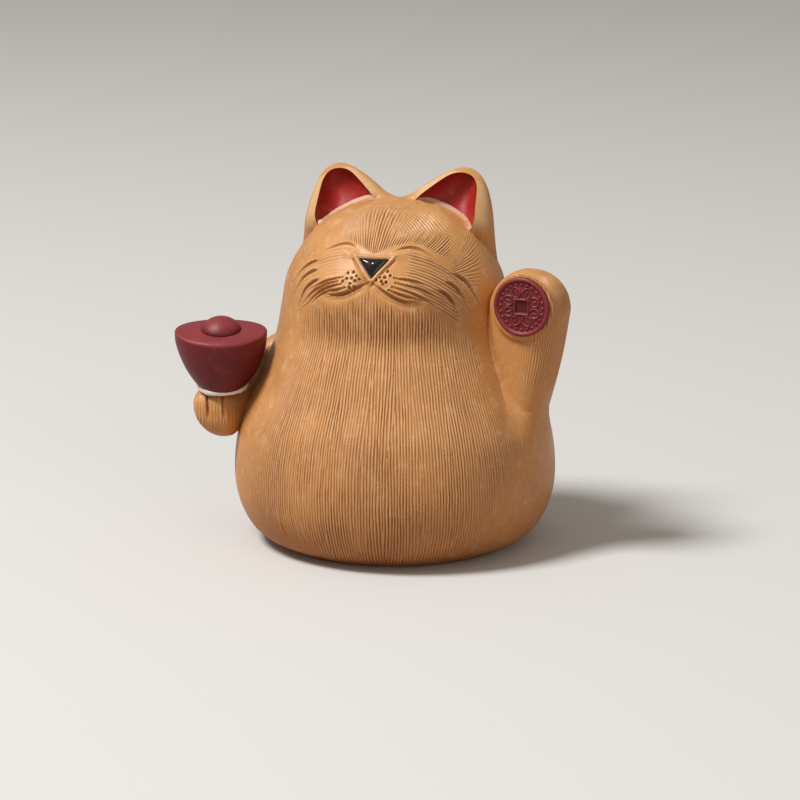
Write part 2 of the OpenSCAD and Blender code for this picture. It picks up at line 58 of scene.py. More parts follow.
def xyz(x, y, z):
    return np.stack(np.broadcast_arrays(x, y, z), -1)   # points whose coordinates fill one common grid


def aroundAxis(radius, t, z):
    return xyz(radius * np.sin(t), -radius * np.cos(t), z)   # t is the angle from the front to the left side


def fullTurn(count):
    return np.linspace(0, 2 * np.pi, count, endpoint=False)[None, :]   # angles once round, as a row of a grid


def capAngles(count):
    return np.radians(np.linspace(0, 89, count)[1:])   # angles up a rounded end, short of its pole


def through(knots, t):
    # Catmull-Rom curve: passes each knot at a whole number of t, slopes set by the neighbours
    k = np.asarray(knots, float)
    k = np.vstack([2 * k[0] - k[1], k, 2 * k[-1] - k[-2]])
    i = np.clip(np.floor(t).astype(int), 0, len(k) - 4)
    f = (np.asarray(t, float) - i)[..., None]
    a, b, c, d = k[i], k[i + 1], k[i + 2], k[i + 3]
    square, cube = 2 * a - 5 * b + 4 * c - d, 3 * b - a - 3 * c + d
    return 0.5 * (2 * b + (c - a) * f + square * f ** 2 + cube * f ** 3)


def ripple(x, y, seed):
    # value noise from -1 to 1: a seeded lattice of random heights, eased between its points
    span = 64
    lattice = np.random.default_rng(seed).uniform(-1, 1, (span, span))
    i, j = np.floor(x).astype(int), np.floor(y).astype(int)
    u, v = ease(x - i, 0, 1), ease(y - j, 0, 1)
    pick = lambda p, q: lattice[p % span, q % span]
    low = pick(i, j) * (1 - u) + pick(i + 1, j) * u
    high = pick(i, j + 1) * (1 - u) + pick(i + 1, j + 1) * u
    return low * (1 - v) + high * v


toolMarks = {
    "wander": 0.2, "shake": 0.14,   # slow and quick side steps, as shares of the pitch
    "depth": 0.82, "uneven": 0.3, "patchy": 0.14,   # depth, and its changes along and between grooves
    "least": 0.4, "most": 1.1, "width": 0.25, "middle": 0.44,
}


def combLines(phase, along, seed):
    # a groove at each whole number of phase and a ridge between, 0 on the average; they wander along their
    # run, and their depth comes and goes
    phase = phase + toolMarks["wander"] * ripple(phase * 0.31, along * 0.11, seed)
    phase = phase + toolMarks["shake"] * ripple(phase * 1.1 + 9, along * 0.45, seed + 2)
    lane = np.floor(phase + 0.5)
    depth = toolMarks["depth"] + toolMarks["uneven"] * ripple(lane * 1.37, along * 0.3, seed + 1)
    depth = depth + toolMarks["patchy"] * ripple(lane * 0.23, along * 0.07, seed + 3)
    depth = np.clip(depth, toolMarks["least"], toolMarks["most"])
    return depth * (hill(phase - lane, 0, toolMarks["width"]) - toolMarks["middle"])


def softMin(first, second, reach):
    # smaller of two distances, drawn below both by up to a quarter of the reach where they meet
    return np.minimum(first, second) - np.clip(reach - np.abs(first - second), 0, None) ** 2 / (4 * reach)


def swellOver(distance, reach, shape):
    # height to which a skin rises along its normals so that it lies on its soft union with another form:
    # the height is stepped outward until the soft minimum of itself and the distance to the form is zero
    height = np.zeros(shape)
    for _ in range(16):
        height = height - 0.75 * softMin(height, distance(height), reach)
    return height


def skinNormals(points, wrap):
    # unit normals of a grid from its two families of tangents; wrap joins the last column to the first
    wide = np.concatenate([points[:, -1:], points, points[:, :1]], 1) if wrap else points
    across = np.gradient(wide, axis=1)
    across = across[:, 1:-1] if wrap else across
    normal = np.cross(across, np.gradient(points, axis=0))
    return normal / np.maximum(np.linalg.norm(normal, axis=-1, keepdims=True), 1e-9)


def gridQuads(rows, cols, wrapRows, wrapCols):
    # corner numbers of the squares of a grid; wrap joins the last row or column to the first
    i, j = np.meshgrid(np.arange(rows - (not wrapRows)), np.arange(cols - (not wrapCols)), indexing="ij")
    up, on = (i + 1) % rows, (j + 1) % cols
    return np.stack([i * cols + j, i * cols + on, up * cols + on, up * cols + j], -1).reshape(-1, 4).tolist()


def meshPiece(name, points, faces, slot, nodes, marks=None, crease=50):
    # one closed mesh from points in mm; its faces are turned outward by the sign of the enclosed volume
    halves = np.array([f[:3] for f in faces] + [[f[0], f[2], f[3]] for f in faces if len(f) == 4])
    a, b, c = (points[halves[:, k]] for k in range(3))
    if np.einsum("ij,ij->", a, np.cross(b, c)) < 0:
        faces = [f[::-1] for f in faces]
    mesh = bpy.data.meshes.new(name)
    mesh.from_pydata((points * mm).tolist(), [], faces)
    for mark, values in (marks or {}).items():
        layer = mesh.attributes.new(mark, "FLOAT", "POINT")
        layer.data.foreach_set("value", np.ravel(values).astype(np.float32))
    mesh.shade_smooth()
    mesh.set_sharp_from_angle(angle=math.radians(crease))
    mesh.materials.append(finishes[slot])
    piece = bpy.data.objects.new(name, mesh)
    bpy.context.scene.collection.objects.link(piece)
    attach(piece, "root")
    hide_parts(*nodes)
    print("made", name, len(faces), "faces")


def loftPiece(name, rings, slot, nodes, marks=None, crease=50):
    # closed skin through rings of equal length; the middles of the first and the last ring close its ends
    rows, cols = rings.shape[:2]
    side, top = np.arange(cols), (rows - 1) * cols
    onward = (side + 1) % cols
    low = np.stack([np.full(cols, rows * cols), onward, side], -1)
    high = np.stack([np.full(cols, rows * cols + 1), top + side, top + onward], -1)
    faces = gridQuads(rows, cols, False, True) + low.tolist() + high.tolist()
    points = np.vstack([rings.reshape(-1, 3), rings[0].mean(0), rings[-1].mean(0)])
    marks = {m: np.append(v, [np.mean(v[0]), np.mean(v[-1])]) for m, v in (marks or {}).items()}
    meshPiece(name, points, faces, slot, nodes, marks, crease)


# Materials

def newMaterial(name):
    material = bpy.data.materials.new(name)
    material.use_nodes = True
    return material, material.node_tree, material.node_tree.nodes["Principled BSDF"]


def newGroup(name, inputs, outputs):
    group = bpy.data.node_groups.new(name, "ShaderNodeTree")
    for label, kind, value in inputs:
        socket = group.interface.new_socket(label, in_out="INPUT", socket_type="NodeSocket" + kind)
        if value is not None:
            socket.default_value = value
    for label, kind in outputs:
        group.interface.new_socket(label, in_out="OUTPUT", socket_type="NodeSocket" + kind)
    return group, group.nodes.new("NodeGroupInput").outputs, group.nodes.new("NodeGroupOutput").inputs


def feed(tree, socket, value):
    # a number or a colour is set on the socket, and an output is linked to it
    if isinstance(value, (int, float, tuple)):
        socket.default_value = value
    else:
        tree.links.new(value, socket)


def noiseNode(tree, vector, scale, detail, rough):
    node = tree.nodes.new("ShaderNodeTexNoise")
    for label, value in (("Vector", vector), ("Scale", scale), ("Detail", detail), ("Roughness", rough)):
        feed(tree, node.inputs[label], value)
    return node.outputs["Fac"]


def rampNode(tree, factor, low, high, fromMin=0.0, fromMax=1.0):
    node = tree.nodes.new("ShaderNodeMapRange")
    node.interpolation_type = "SMOOTHSTEP"
    for label, value in (("From Min", fromMin), ("From Max", fromMax), ("To Min", low), ("To Max", high)):
        node.inputs[label].default_value = value
    tree.links.new(factor, node.inputs["Value"])
    return node.outputs["Result"]


def mathNode(tree, operation, first, second):
    node = tree.nodes.new("ShaderNodeMath")
    node.operation = operation
    feed(tree, node.inputs[0], first)
    feed(tree, node.inputs[1], second)
    return node.outputs["Value"]


def mixNode(tree, factor, first, second):
    node = tree.nodes.new("ShaderNodeMix")
    node.data_type = "RGBA"
    for place, value in ((0, factor), (6, first), (7, second)):   # the sockets of a colour mix
        feed(tree, node.inputs[place], value)
    return node.outputs[2]


def bumpNode(tree, shader, height, strength, depth):
    relief = tree.nodes.new("ShaderNodeBump")
    relief.inputs["Strength"].default_value = strength
    relief.inputs["Distance"].default_value = depth * mm
    tree.links.new(height, relief.inputs["Height"])
    tree.links.new(relief.outputs["Normal"], shader.inputs["Normal"])


def shade(red, green, blue):
    # colour as seen, 0 to 255, turned to the linear value that shaders take
    seen = np.array([red, green, blue]) / 255
    return tuple(np.where(seen < 0.04045, seen / 12.92, ((seen + 0.055) / 1.055) ** 2.4)) + (1.0,)


sand = {
    # scale, detail and roughness of each noise
    "mottle": (70, 3, 0.55), "cloud": (420, 3, 0.6), "grain": (5200, 2, 0.6), "speck": (2600, 1, 0.5),
    # strength of each layer at its ends, and where in the noise those ends are
    "mottled": (0.0, 0.34, 0.42, 0.72), "clouded": (0.0, 0.3, 0.5, 0.75),
    "paleGrains": (0.0, 0.45, 0.67, 0.75), "darkGrains": (0.45, 0.0, 0.3, 0.42),
    # pale layer for wear and painted highlights, deep layer for painted shade, and the colour of the painted
    # highlight on the ears' lips
    "wear_and_highlight": 0.75, "cut": 0.8, "highlight": (222, 202, 194),
    "rough": 0.44, "cloudRough": (-0.06, 0.1), "cutRough": 0.2, "speckRise": 0.6, "bumpDepth": 0.06,
}


def makeSandGroup():
    # sandy fired clay: broad mottling, pale clouds, pale and dark grains, pale worn edges and painted
    # highlights, painted shade in cuts, grooves and creases, and a pale painted highlight
    group, given, made = newGroup(
        "sandyClay",
        [("Vector", "Vector", None), ("Cut", "Float", 0.0), ("Wear_and_highlight", "Float", 0.0), ("Highlight", "Float", 0.0),
         ("Clay", "Color", None), ("Deep", "Color", None), ("Pale", "Color", None), ("Grains", "Float", 1.0)],
        [("Color", "Color"), ("Rough", "Float"), ("Height", "Float")],
    )
    noises = (noiseNode(group, given["Vector"], *sand[k]) for k in ("mottle", "cloud", "grain", "speck"))
    mottle, cloud, grain, speck = noises
    plus = lambda first, second: mathNode(group, "ADD", first, second)
    times = lambda first, second: mathNode(group, "MULTIPLY", first, second)
    layers = [
        (rampNode(group, mottle, *sand["mottled"]), given["Deep"]),
        (rampNode(group, cloud, *sand["clouded"]), given["Pale"]),
        (times(rampNode(group, speck, *sand["paleGrains"]), given["Grains"]), given["Pale"]),
        (times(rampNode(group, grain, *sand["darkGrains"]), given["Grains"]), given["Deep"]),
        # the pale layer carries wear and painted highlights, the deep layer painted shade in cuts, grooves
        # and creases, and the last layer a painted highlight
        (times(given["Wear_and_highlight"], sand["wear_and_highlight"]), given["Pale"]),
        (times(given["Cut"], sand["cut"]), given["Deep"]),
        (given["Highlight"], shade(*sand["highlight"])),
    ]
    color = given["Clay"]
    for strength, layer in layers:
        color = mixNode(group, strength, color, layer)
    rough = plus(rampNode(group, cloud, *sand["cloudRough"]), times(given["Cut"], sand["cutRough"]))
    group.links.new(color, made["Color"])
    group.links.new(plus(rough, sand["rough"]), made["Rough"])
    group.links.new(plus(times(speck, sand["speckRise"]), grain), made["Height"])
    return group


sandyClay = makeSandGroup()


def clayMaterial(name, clay, deep, pale, grains, bump, gloss):
    # clay or slip: deep is its colour in its mottling, dark grains and painted shade, and pale that of its
    # clouds, grains, worn edges and painted highlights
    material, tree, shader = newMaterial(name)
    skin = tree.nodes.new("ShaderNodeGroup")
    skin.node_tree = sandyClay
    place = tree.nodes.new("ShaderNodeTexCoord")
    tree.links.new(place.outputs["Object"], skin.inputs["Vector"])
    for mark in ("Cut", "Wear_and_highlight", "Highlight"):
        reader = tree.nodes.new("ShaderNodeAttribute")
        reader.attribute_name = mark.lower()
        tree.links.new(reader.outputs["Fac"], skin.inputs[mark])
    for label, color in (("Clay", clay), ("Deep", deep), ("Pale", pale)):
        skin.inputs[label].default_value = shade(*color)
    skin.inputs["Grains"].default_value = grains
    bumpNode(tree, shader, skin.outputs["Height"], bump, sand["bumpDepth"])
    tree.links.new(skin.outputs["Color"], shader.inputs["Base Color"])
    tree.links.new(skin.outputs["Rough"], shader.inputs["Roughness"])
    shader.inputs["Specular IOR Level"].default_value = gloss
    return material


glaze = {
    "cloud": (900, 3, 0.6), "blend": (0.0, 1.0, 0.35, 0.75), "dark": (14, 10, 14), "brown": (40, 26, 26),
    "rough": (0.1, 0.24), "bump": 0.15, "bumpDepth": 0.05, "gloss": 0.1, "coat": 1.0, "coatRough": 0.06,
}


def glazeMaterial(name):
    # black glaze: a wet coat over a faintly brown, slightly uneven body
    material, tree, shader = newMaterial(name)
    place = tree.nodes.new("ShaderNodeTexCoord")
    cloud = noiseNode(tree, place.outputs["Object"], *glaze["cloud"])
    brown = rampNode(tree, cloud, *glaze["blend"])
    color = mixNode(tree, brown, shade(*glaze["dark"]), shade(*glaze["brown"]))
    tree.links.new(color, shader.inputs["Base Color"])
    tree.links.new(rampNode(tree, cloud, *glaze["rough"]), shader.inputs["Roughness"])
    bumpNode(tree, shader, cloud, glaze["bump"], glaze["bumpDepth"])
    shader.inputs["Specular IOR Level"].default_value = glaze["gloss"]
    shader.inputs["Coat Weight"].default_value = glaze["coat"]
    shader.inputs["Coat Roughness"].default_value = glaze["coatRough"]
    return material


clays = {
    # slot: name, colours of the clay, of its mottling, dark grains and painted shade, and of its pale grains
    # and painted highlights, then grains, bump and gloss
    "clay": ("ochreClay", (199, 140, 78), (134, 73, 34), (228, 194, 150), 1.0, 0.5, 0.6),
    "red_slip": ("redSlip", (154, 32, 24), (100, 10, 10), (196, 84, 66), 0.6, 0.8, 0.3),
    "maroon_clay": ("maroonClay", (108, 23, 31), (54, 6, 12), (156, 68, 70), 0.6, 0.5, 0.35),
    "white_slip": ("whiteSlip", (238, 233, 228), (190, 176, 164), (246, 243, 240), 0.3, 0.35, 0.4),
}
finishes = {slot: clayMaterial(*values) for slot, values in clays.items()}
finishes["black_glaze"] = glazeMaterial("blackGlaze")
print("materials made")


# Body: a turned outline with a face worked into its front

body = {
    "footR": 23.0, "bellyR": 32.2, "bellyZ": 16.0, "neckR": 23.9, "neckZ": 41.5,
    "headR": 22.6, "headZ": 47.0, "crownZ": 69.0, "wall": 3.2, "baseT": 3.0, "noseZ": 59.0,
    "splitZ": 40.0, "overlap": 2.4, "tuck": 0.35, "tuckRun": 1.6,   # the belly's skin goes under the head's
    "crownGap": 0.15, "baseGap": 0.05, "headSpread": (0.68, 0.32), "bellySpread": (0.8, 0.2),
    "headCols": 581, "bellyCols": 1001, "backCols": 461,
    "faceStep": 0.16, "headStep": 0.6, "bellyStep": 0.5, "backStep": 0.85,
    # how strongly painted shade shows in cuts, hair grooves, the nose's ditch and the arm's crease, and
    # painted highlights on burrs, hair ridges, the nose's ridge and the ears' lips
    "cutShade": 1.7, "hairShade": 1.5, "ditchShade": 1.5, "creaseShade": 0.8,
    "burrHighlight": 5, "hairHighlight": 1.5, "ridgeHighlight": 1.4, "highlight": (0.9, 0.45),
    # cheeks, whisker pads and the hollow under the chin: height, angle from the front and half angle, height
    # over the middle of the head, and half height as a share of the rise to the crown
    "swells": [(0.9, 24, 15, 6.5, 0.205), (0.5, 9, 8, 9, 0.127), (-0.8, 0, 45, -2.5, 0.16)],
}
topRise = body["crownZ"] - body["headZ"]


def bodyKnots():
    # outline as radius and height: foot, belly, neck, then an ellipse for the head
    foot, belly, neck = body["footR"], body["bellyR"], body["neckR"]
    drop, rise = belly - neck, body["neckZ"] - body["bellyZ"]
    low = [
        [foot, 0],
        [foot + 0.59 * (belly - foot), 0.2 * body["bellyZ"]],
        [belly - 0.08 * (belly - foot), 0.56 * body["bellyZ"]],
        [belly, body["bellyZ"]],
        [belly - 0.17 * drop, body["bellyZ"] + 0.35 * rise],
        [belly - 0.64 * drop, body["bellyZ"] + 0.7 * rise],
        [neck, body["neckZ"]],
    ]
    angle = np.radians([2.6, 21.3, 44, 67])
    head = np.stack([body["headR"] * np.cos(angle), body["headZ"] + topRise * np.sin(angle)], -1)
    crown = [[0, body["crownZ"]], [-head[-1][0], head[-1][1]]]
    return np.vstack([low, head, crown])


outline = through(bodyKnots(), np.linspace(0, len(bodyKnots()) - 2, 3000))
outlineArc = np.concatenate([[0], np.cumsum(np.linalg.norm(np.diff(outline, axis=0), axis=1))])
slope = np.gradient(outline, outlineArc, axis=0)
outlineNormal = np.stack([slope[:, 1], -slope[:, 0]], -1)


def arcAt(z):
    # length of the outline from the foot up to a height
    return np.interp(z, outline[:, 1], outlineArc)


def bodyRadius(z):
    return np.interp(z, outline[:, 1], outline[:, 0])


def alongOutline(arc):
    # place on the outline and its normal there, each as a radius and a height
    pick = lambda values: np.stack([np.interp(arc, outlineArc, values[:, k]) for k in (0, 1)], -1)
    return pick(outline), pick(outlineNormal)


def offBody(place, normal, t, height):
    # point of the turned body, moved along its normal by a height
    radius, z = (place[..., k] + height * normal[..., k] for k in (0, 1))
    return aroundAxis(radius, t, z)


noseArc = arcAt(body["noseZ"])


# Arms: both stand in an upright plane turned from the front; out runs away from the axis, back to the rear

arm = {
    "turn": 77.5, "pawTop": 57.3, "pawW": 15.2, "pawD": 13.0, "elbowW": 10.8, "elbowZ": 24.8, "pawSink": 0.9,
    "square": 2.8, "palmSquare": 2.5, "shoulderZ": 40.0,
    "palmH": 11.0, "palmD": 10.8, "palmZ": 31.6, "palmFwd": 3.5,
    "groovePitch": 0.55, "grooveDepth": 0.14, "grooveLow": (31, 37), "grooveTop": (55.9, 56.9),
    "combPitch": 0.62, "combDepth": 0.15, "fingerW": 0.34, "fingers": [(0.25, 0.5), (-0.04, 0.44)],
    # the body is smoothed to the raised arm over a width that is given at some heights, and higher up a
    # crease with painted shade takes over
    "join": ([18, 25, 29, 32, 35, 54], [7.5, 6.0, 3.6, 1.7, 0.7, 0.45]),
    "joinTurn": 45, "joinLow": (14, 20), "joinTop": 60,
    "openZ": (28.0, 33.0), "creaseTop": 56, "crease": (0.15, 0.3),
}
ingot = {
    "length": 18.4, "width": 13.4, "height": 11.6, "lift": 0.6, "footR": 4.9, "crown": 0.8, "gap": 1.7,
    "lean": 11.0, "lip": 0.955, "swell": 0.8, "dent": 0.05, "domeR": 4.2, "domeH": 2.5, "domePinch": 0.07,
    "beadW": 0.3, "beadH": 0.9, "beadUneven": (0.25, 0.12),
}
pawOut = body["headR"] - arm["pawSink"] + arm["pawW"] / 2
pawLevel = arm["pawTop"] - 0.52 * arm["pawW"]
palmOut = bodyRadius(arm["palmZ"] + ingot["height"]) + ingot["gap"] + ingot["length"] / 2


def fromArmPlane(points, mirrored=False):
    # turns the arm's plane to its place round the body; the other arm is its mirror image
    a = math.radians(arm["turn"] - 90)
    x = points[..., 0] * math.cos(a) - points[..., 1] * math.sin(a)
    y = points[..., 0] * math.sin(a) + points[..., 1] * math.cos(a)
    return xyz(-x if mirrored else x, y, points[..., 2])


def superRing(count, power):
    # rounded square: cosine and sine raised to 2 / power, with their signs kept
    t = 2 * np.pi * np.linspace(0, 1, count, endpoint=False)[None, :]
    bend = lambda v: np.sign(v) * np.abs(v) ** (2 / power)
    return bend(np.cos(t)), bend(np.sin(t))


def raisedKnots():
    # height, distance out, half width, half depth
    elbowOut = bodyRadius(arm["elbowZ"]) - 0.48 * arm["elbowW"]
    e, w, d = arm["elbowW"], arm["pawW"], arm["pawD"]
    return [
        [arm["elbowZ"] - 0.74 * e, elbowOut - 0.2 * e, 0.3 * e, 0.3 * e],
        [arm["elbowZ"], elbowOut, 0.5 * e, 0.5 * e],
        [0.43 * arm["elbowZ"] + 0.57 * pawLevel, 0.33 * elbowOut + 0.67 * pawOut, 0.46 * w, 0.45 * d],
        [pawLevel, pawOut, 0.5 * w, 0.5 * d],
    ]


raisedRows = through(raisedKnots(), np.linspace(0, 3, 400))


def armReach(z):
    # width over which arm and body are smoothed together: wide at the elbow, a crease beside the head
    return np.interp(z, *arm["join"])


def armGap(turn, radius, z):
    # distance of a point from the raised arm, as a rounded square at each height; the paw's top closes it
    t = np.radians(turn + 90 - arm["turn"])
    x, y = radius * np.sin(t), -radius * np.cos(t)
    out, wide, deep = (np.interp(z, raisedRows[:, 0], raisedRows[:, k]) for k in (1, 2, 3))
    above = np.clip((z - pawLevel) / (arm["pawTop"] - pawLevel), 0, None)
    below = np.clip(raisedRows[0, 0] - z, 0, None)
    power = arm["square"]
    size = (np.abs((x - out) / wide) ** power + np.abs(y / deep) ** power) ** (1 / power)
    return (np.hypot(size, above) - 1) * np.minimum(wide, deep) + below


def bodyGap(points):
    # distance from the turned body, zero inside it
    z = points[..., 2]
    lean = np.interp(z, outline[:, 1], outlineNormal[:, 0])
    return np.clip((np.hypot(points[..., 0], points[..., 1]) - bodyRadius(z)) * lean, 0, None)


def armFillet(turn, radius, z, normal):
    # rise of the body's skin to the raised arm: low down it covers the elbow, and higher up it only meets the
    # arm, by a quarter of the reach at the meeting and none beyond the reach
    rise = np.zeros(z.shape)
    near = (np.abs(turn - arm["turn"]) < arm["joinTurn"]) & (z < arm["joinTop"]) & (z > arm["joinLow"][0])
    turn, radius, z, lean = turn[near], radius[near], z[near], normal[near]
    reach = armReach(z)
    meet = reach / 4 * np.clip(1 - np.abs(armGap(turn, radius, z)) / reach, 0, 1) ** 2
    low = z < arm["openZ"][1]
    skin = np.stack([radius, z], -1)[low]
    gap = lambda height: armGap(turn[low], *(skin + height[:, None] * lean[low]).T)
    cover = swellOver(gap, reach[low], z[low].shape) - meet[low]
    meet[low] = meet[low] + cover * fade(z[low], *arm["openZ"])
    rise[near] = meet * ease(z, *arm["joinLow"])
    return rise


def armCreaseShade(turn, radius, z):
    # painted shade: a dark line in the crease between the body and the raised arm, above the elbow
    line = np.zeros(z.shape)
    near = (np.abs(turn - arm["turn"]) < arm["joinTurn"]) & (z < arm["creaseTop"]) & (z > arm["openZ"][0])
    gap = armGap(turn[near], radius[near], z[near])
    line[near] = hill(gap, *arm["crease"]) * ease(z[near], *arm["openZ"])
    return line


# Face: strokes are placed on the skin in millimetres, across from the middle line and up from the nose

face = {
    "eyes": [
        [(-3.6, 3.5), (-5.2, 4.3), (-7.4, 4.1), (-10.5, 2.6), (-13.8, 0.9)],
        [(3.5, 3.0), (5.0, 3.8), (6.8, 4.0), (8.8, 3.4), (11.6, 1.7), (14.4, -0.1)],
    ],
    "lids": [
        [(-6.0, 3.1), (-8.6, 2.6), (-11.6, 1.0)],
        [(5.6, 2.7), (8.4, 2.3), (11.2, 0.9), (14.0, -0.9)],
    ],
    "mouth": [
        [(-0.2, -3.4), (-2.1, -4.5), (-3.8, -5.5), (-5.6, -6.2), (-7.9, -6.5), (-9.9, -6.1)],
        [(0.1, -3.4), (1.8, -4.6), (3.6, -5.8), (5.7, -6.8), (8.0, -7.2), (11.2, -6.9)],
    ],
    "cheeks": [
        [(-11.5, -0.2), (-14.4, -0.9), (-17.6, -2.8), (-20.9, -6.2)],
        [(-11.3, -1.9), (-13.9, -2.7), (-16.8, -4.6), (-19.8, -8.4)],
        [(-10.2, -3.7), (-12.6, -4.6), (-15.2, -6.6), (-17.6, -10.3)],
        [(15.0, -2.0), (17.6, -2.7), (20.4, -4.7), (22.8, -7.7), (24.8, -10.6)],
        [(13.9, -3.5), (16.2, -4.3), (18.8, -6.6), (21.4, -10.2)],
        [(12.4, -5.0), (14.6, -5.9), (16.8, -8.0), (18.8, -11.6)],
    ],
    "whiskers": [
        [(-5.5, -2.9), (-8.1, -3.7), (-10.6, -4.8), (-13.4, -6.1)],
        [(-6.4, -3.9), (-9.4, -4.9), (-12.4, -6.5), (-15.7, -9.2)],
        [(-5.4, -4.3), (-7.8, -5.1), (-10.6, -6.3), (-14.9, -9.7)],
        [(-4.6, -4.9), (-6.7, -5.6), (-9.2, -6.2), (-12.6, -8.6)],
        [(4.4, -2.6), (8.0, -3.2), (12.0, -4.7)],
        [(4.7, -3.6), (9.5, -4.9), (14.0, -7.0)],
        [(4.2, -4.4), (8.4, -5.8), (13.0, -8.2)],
        [(3.6, -5.0), (6.6, -6.1), (9.6, -6.9)],
    ],
    "dots": [
        (-4.6, -2.0), (-3.5, -1.7), (-2.7, -2.5), (-4.6, -3.2), (-3.6, -3.0), (-2.1, -3.1),
        (-5.3, -3.8), (-3.7, -4.1), (-2.8, -3.5), (-3.8, -4.9), (-2.9, -4.6),
        (3.1, -1.2), (3.7, -2.1), (1.8, -2.5), (2.7, -2.5), (1.1, -2.9), (2.2, -3.4), (3.1, -3.5),
        (2.5, -3.9),
    ],
    # short tool strokes beside the paw with the ingot, as turns and heights
    "flank": [[(-54.5, 30.6), (-56.5, 28.4), (-58.0, 26.6)], [(-58.5, 29.2), (-59.5, 27.4), (-60.2, 26.2)]],
    # width and depth of each kind of stroke, and the shares of them that are left at its two ends
    "cuts": {
        "eyes": (0.36, 0.46, 0.15, 0), "lids": (0.17, 0.15, 0, 0), "mouth": (0.32, 0.42, 0.5, 0),
        "cheeks": (0.4, 0.6, 0, 0.2), "whiskers": (0.29, 0.5, 0.6, 0.25), "flank": (0.32, 0.3, 0, 0),
    },
    "dotR": 0.34, "dotChange": 0.05, "dotDepth": 0.55,
    "brow": ([3, 6.8, 11, 15], [1.9, 2.5, 0.7, -1.6]), "cheekLift": 0.35, "padLift": 0.36, "lipHollow": 0.28,
}
nose = {
    "half": 3.1, "top": 1.4, "tip": -2.7, "sink": -0.8, "edge": 0.1, "rise": 0.75, "corners": 14,
    "ridge": 0.34, "ditch": 0.3,
}


def groove(gap, width, depth):
    # cut with a round floor and a small burr thrown up along both edges
    floor = np.clip(1 - (gap / width) ** 2, 0, 1) ** 0.8
    burr = 0.17 * hill(gap, 1.35 * width, 0.4 * width)
    return depth * (floor - burr)


def stroke(across, up, points, width, depth, startShare, endShare):
    # a groove along a smooth line, tapering to a share of its size at each end
    line = through(points, np.linspace(0, len(points) - 1, 5 * len(points)))
    low, high = line.min(0) - 2, line.max(0) + 2
    box = (across > low[0]) & (across < high[0]) & (up > low[1]) & (up < high[1])
    x, y = across[box], up[box]
    near, share = np.full(x.shape, 1e9), np.zeros(x.shape)
    for k, (p, q) in enumerate(zip(line[:-1], line[1:])):
        d = q - p
        t = np.clip(((x - p[0]) * d[0] + (y - p[1]) * d[1]) / (d @ d), 0, 1)
        gap = np.hypot(x - p[0] - t * d[0], y - p[1] - t * d[1])
        share = np.where(gap < near, (k + t) / (len(line) - 1), share)
        near = np.minimum(gap, near)
    full = startShare + (1 - startShare) * ease(share, 0, 0.35)
    full = full * (endShare + (1 - endShare) * ease(1 - share, 0, 0.45))
    cut = np.zeros(across.shape)
    cut[box] = groove(near, width * (0.35 + 0.65 * full), depth * full)
    return cut


def faceSwell(turn, z):
    # cheeks, whisker pads and the hollow under the chin, as bells on the angle and the height
    swell = 0
    for height, angle, wide, above, share in body["swells"]:
        bell = hill(np.abs(turn), angle, wide) * hill(z, body["headZ"] + above, share * topRise)
        swell = swell + height * bell
    return swell


def faceCarving(across, up):
    # eyes, mouth, cheek strokes and whiskers, then the dots that the whiskers grow from
    cut = 0
    for kind in ("eyes", "lids", "mouth", "cheeks", "whiskers"):
        cut = cut + sum(stroke(across, up, line, *face["cuts"][kind]) for line in face[kind])
    for k, (x, y) in enumerate(face["dots"]):
        radius = face["dotR"] + face["dotChange"] * math.sin(2.4 * k)
        cut = cut + groove(np.hypot(across - x, up - y), radius, face["dotDepth"])
    return cut


def faceLift(across, up):
    # cheeks rounded up under the eyes, pads that hang over the mouth, and a soft hollow under the lip
    side = np.abs(across)
    brow = np.interp(side, *face["brow"])
    cheek = face["cheekLift"] * hill(up, brow, 1.1) * ease(side, 2.5, 4.5) * fade(side, 11, 16)
    right, left = face["mouth"]
    lip = np.array(right[:0:-1] + [(0, right[0][1])] + left[1:]).T   # the two halves of the mouth as one line
    over = up - np.interp(across, *lip)
    pad = face["padLift"] * ease(over, -0.15, 0.5) * fade(over, 1.2, 4.2)
    under = face["lipHollow"] * hill(over, -0.7, 0.75)
    return cheek + (pad - under) * fade(side, 7.5, 11.5) * ease(side, 0.4, 2.4)


def flankStrokes(across, up):
    # points given as a turn and a height, laid out on the skin like the face's own
    cut = np.zeros(across.shape)
    for line in face["flank"]:
        turn, z = np.array(line).T
        points = np.stack([np.radians(turn) * bodyRadius(z), arcAt(z) - noseArc], -1)
        cut = cut + stroke(across, up, points, *face["cuts"]["flank"])
    return cut


def noseEdge(across, up):
    # distance from the triangle of the nose, negative inside
    half, top, tip = nose["half"], nose["top"], nose["tip"]
    lean = np.array([top - tip, half]) / math.hypot(top - tip, half)
    return np.maximum(np.abs(across) * lean[0] - (up - tip) * lean[1], up - top)


# Combed hair

hair = {
    # on the body: pitch in mm, width of a stroke in degrees, and how far round it is combed at some heights
    "depth": 0.28, "pitch": 0.6, "stroke": 11.0,
    "reach": ([0, 15, 26, 36, 44, 52], [54, 60, 56, 49, 56, 62]), "lopsided": 4,
    # on the face: the lines above the eyes and below the mouth where the hair starts
    "eyes": ([0, 3.3, 6.8, 11.4, 14.4, 18, 22], [1.6, 3.3, 4.3, 2.0, 0.3, -2, -6]),
    "mouth": ([0, 4, 7.5, 10.6, 13, 16, 19, 23], [-4, -6.6, -7.8, -7.6, -8.6, -11, -13, -15]), "ragged": 1.3,
    "fan": 1.15, "fanLanes": 29, "fanDrop": 8, "sweepPitch": 0.62, "sweepBend": 0.02,
    "temple": 0.75, "templeLanes": 16, "templeOut": 11, "templeDrop": 3,
}


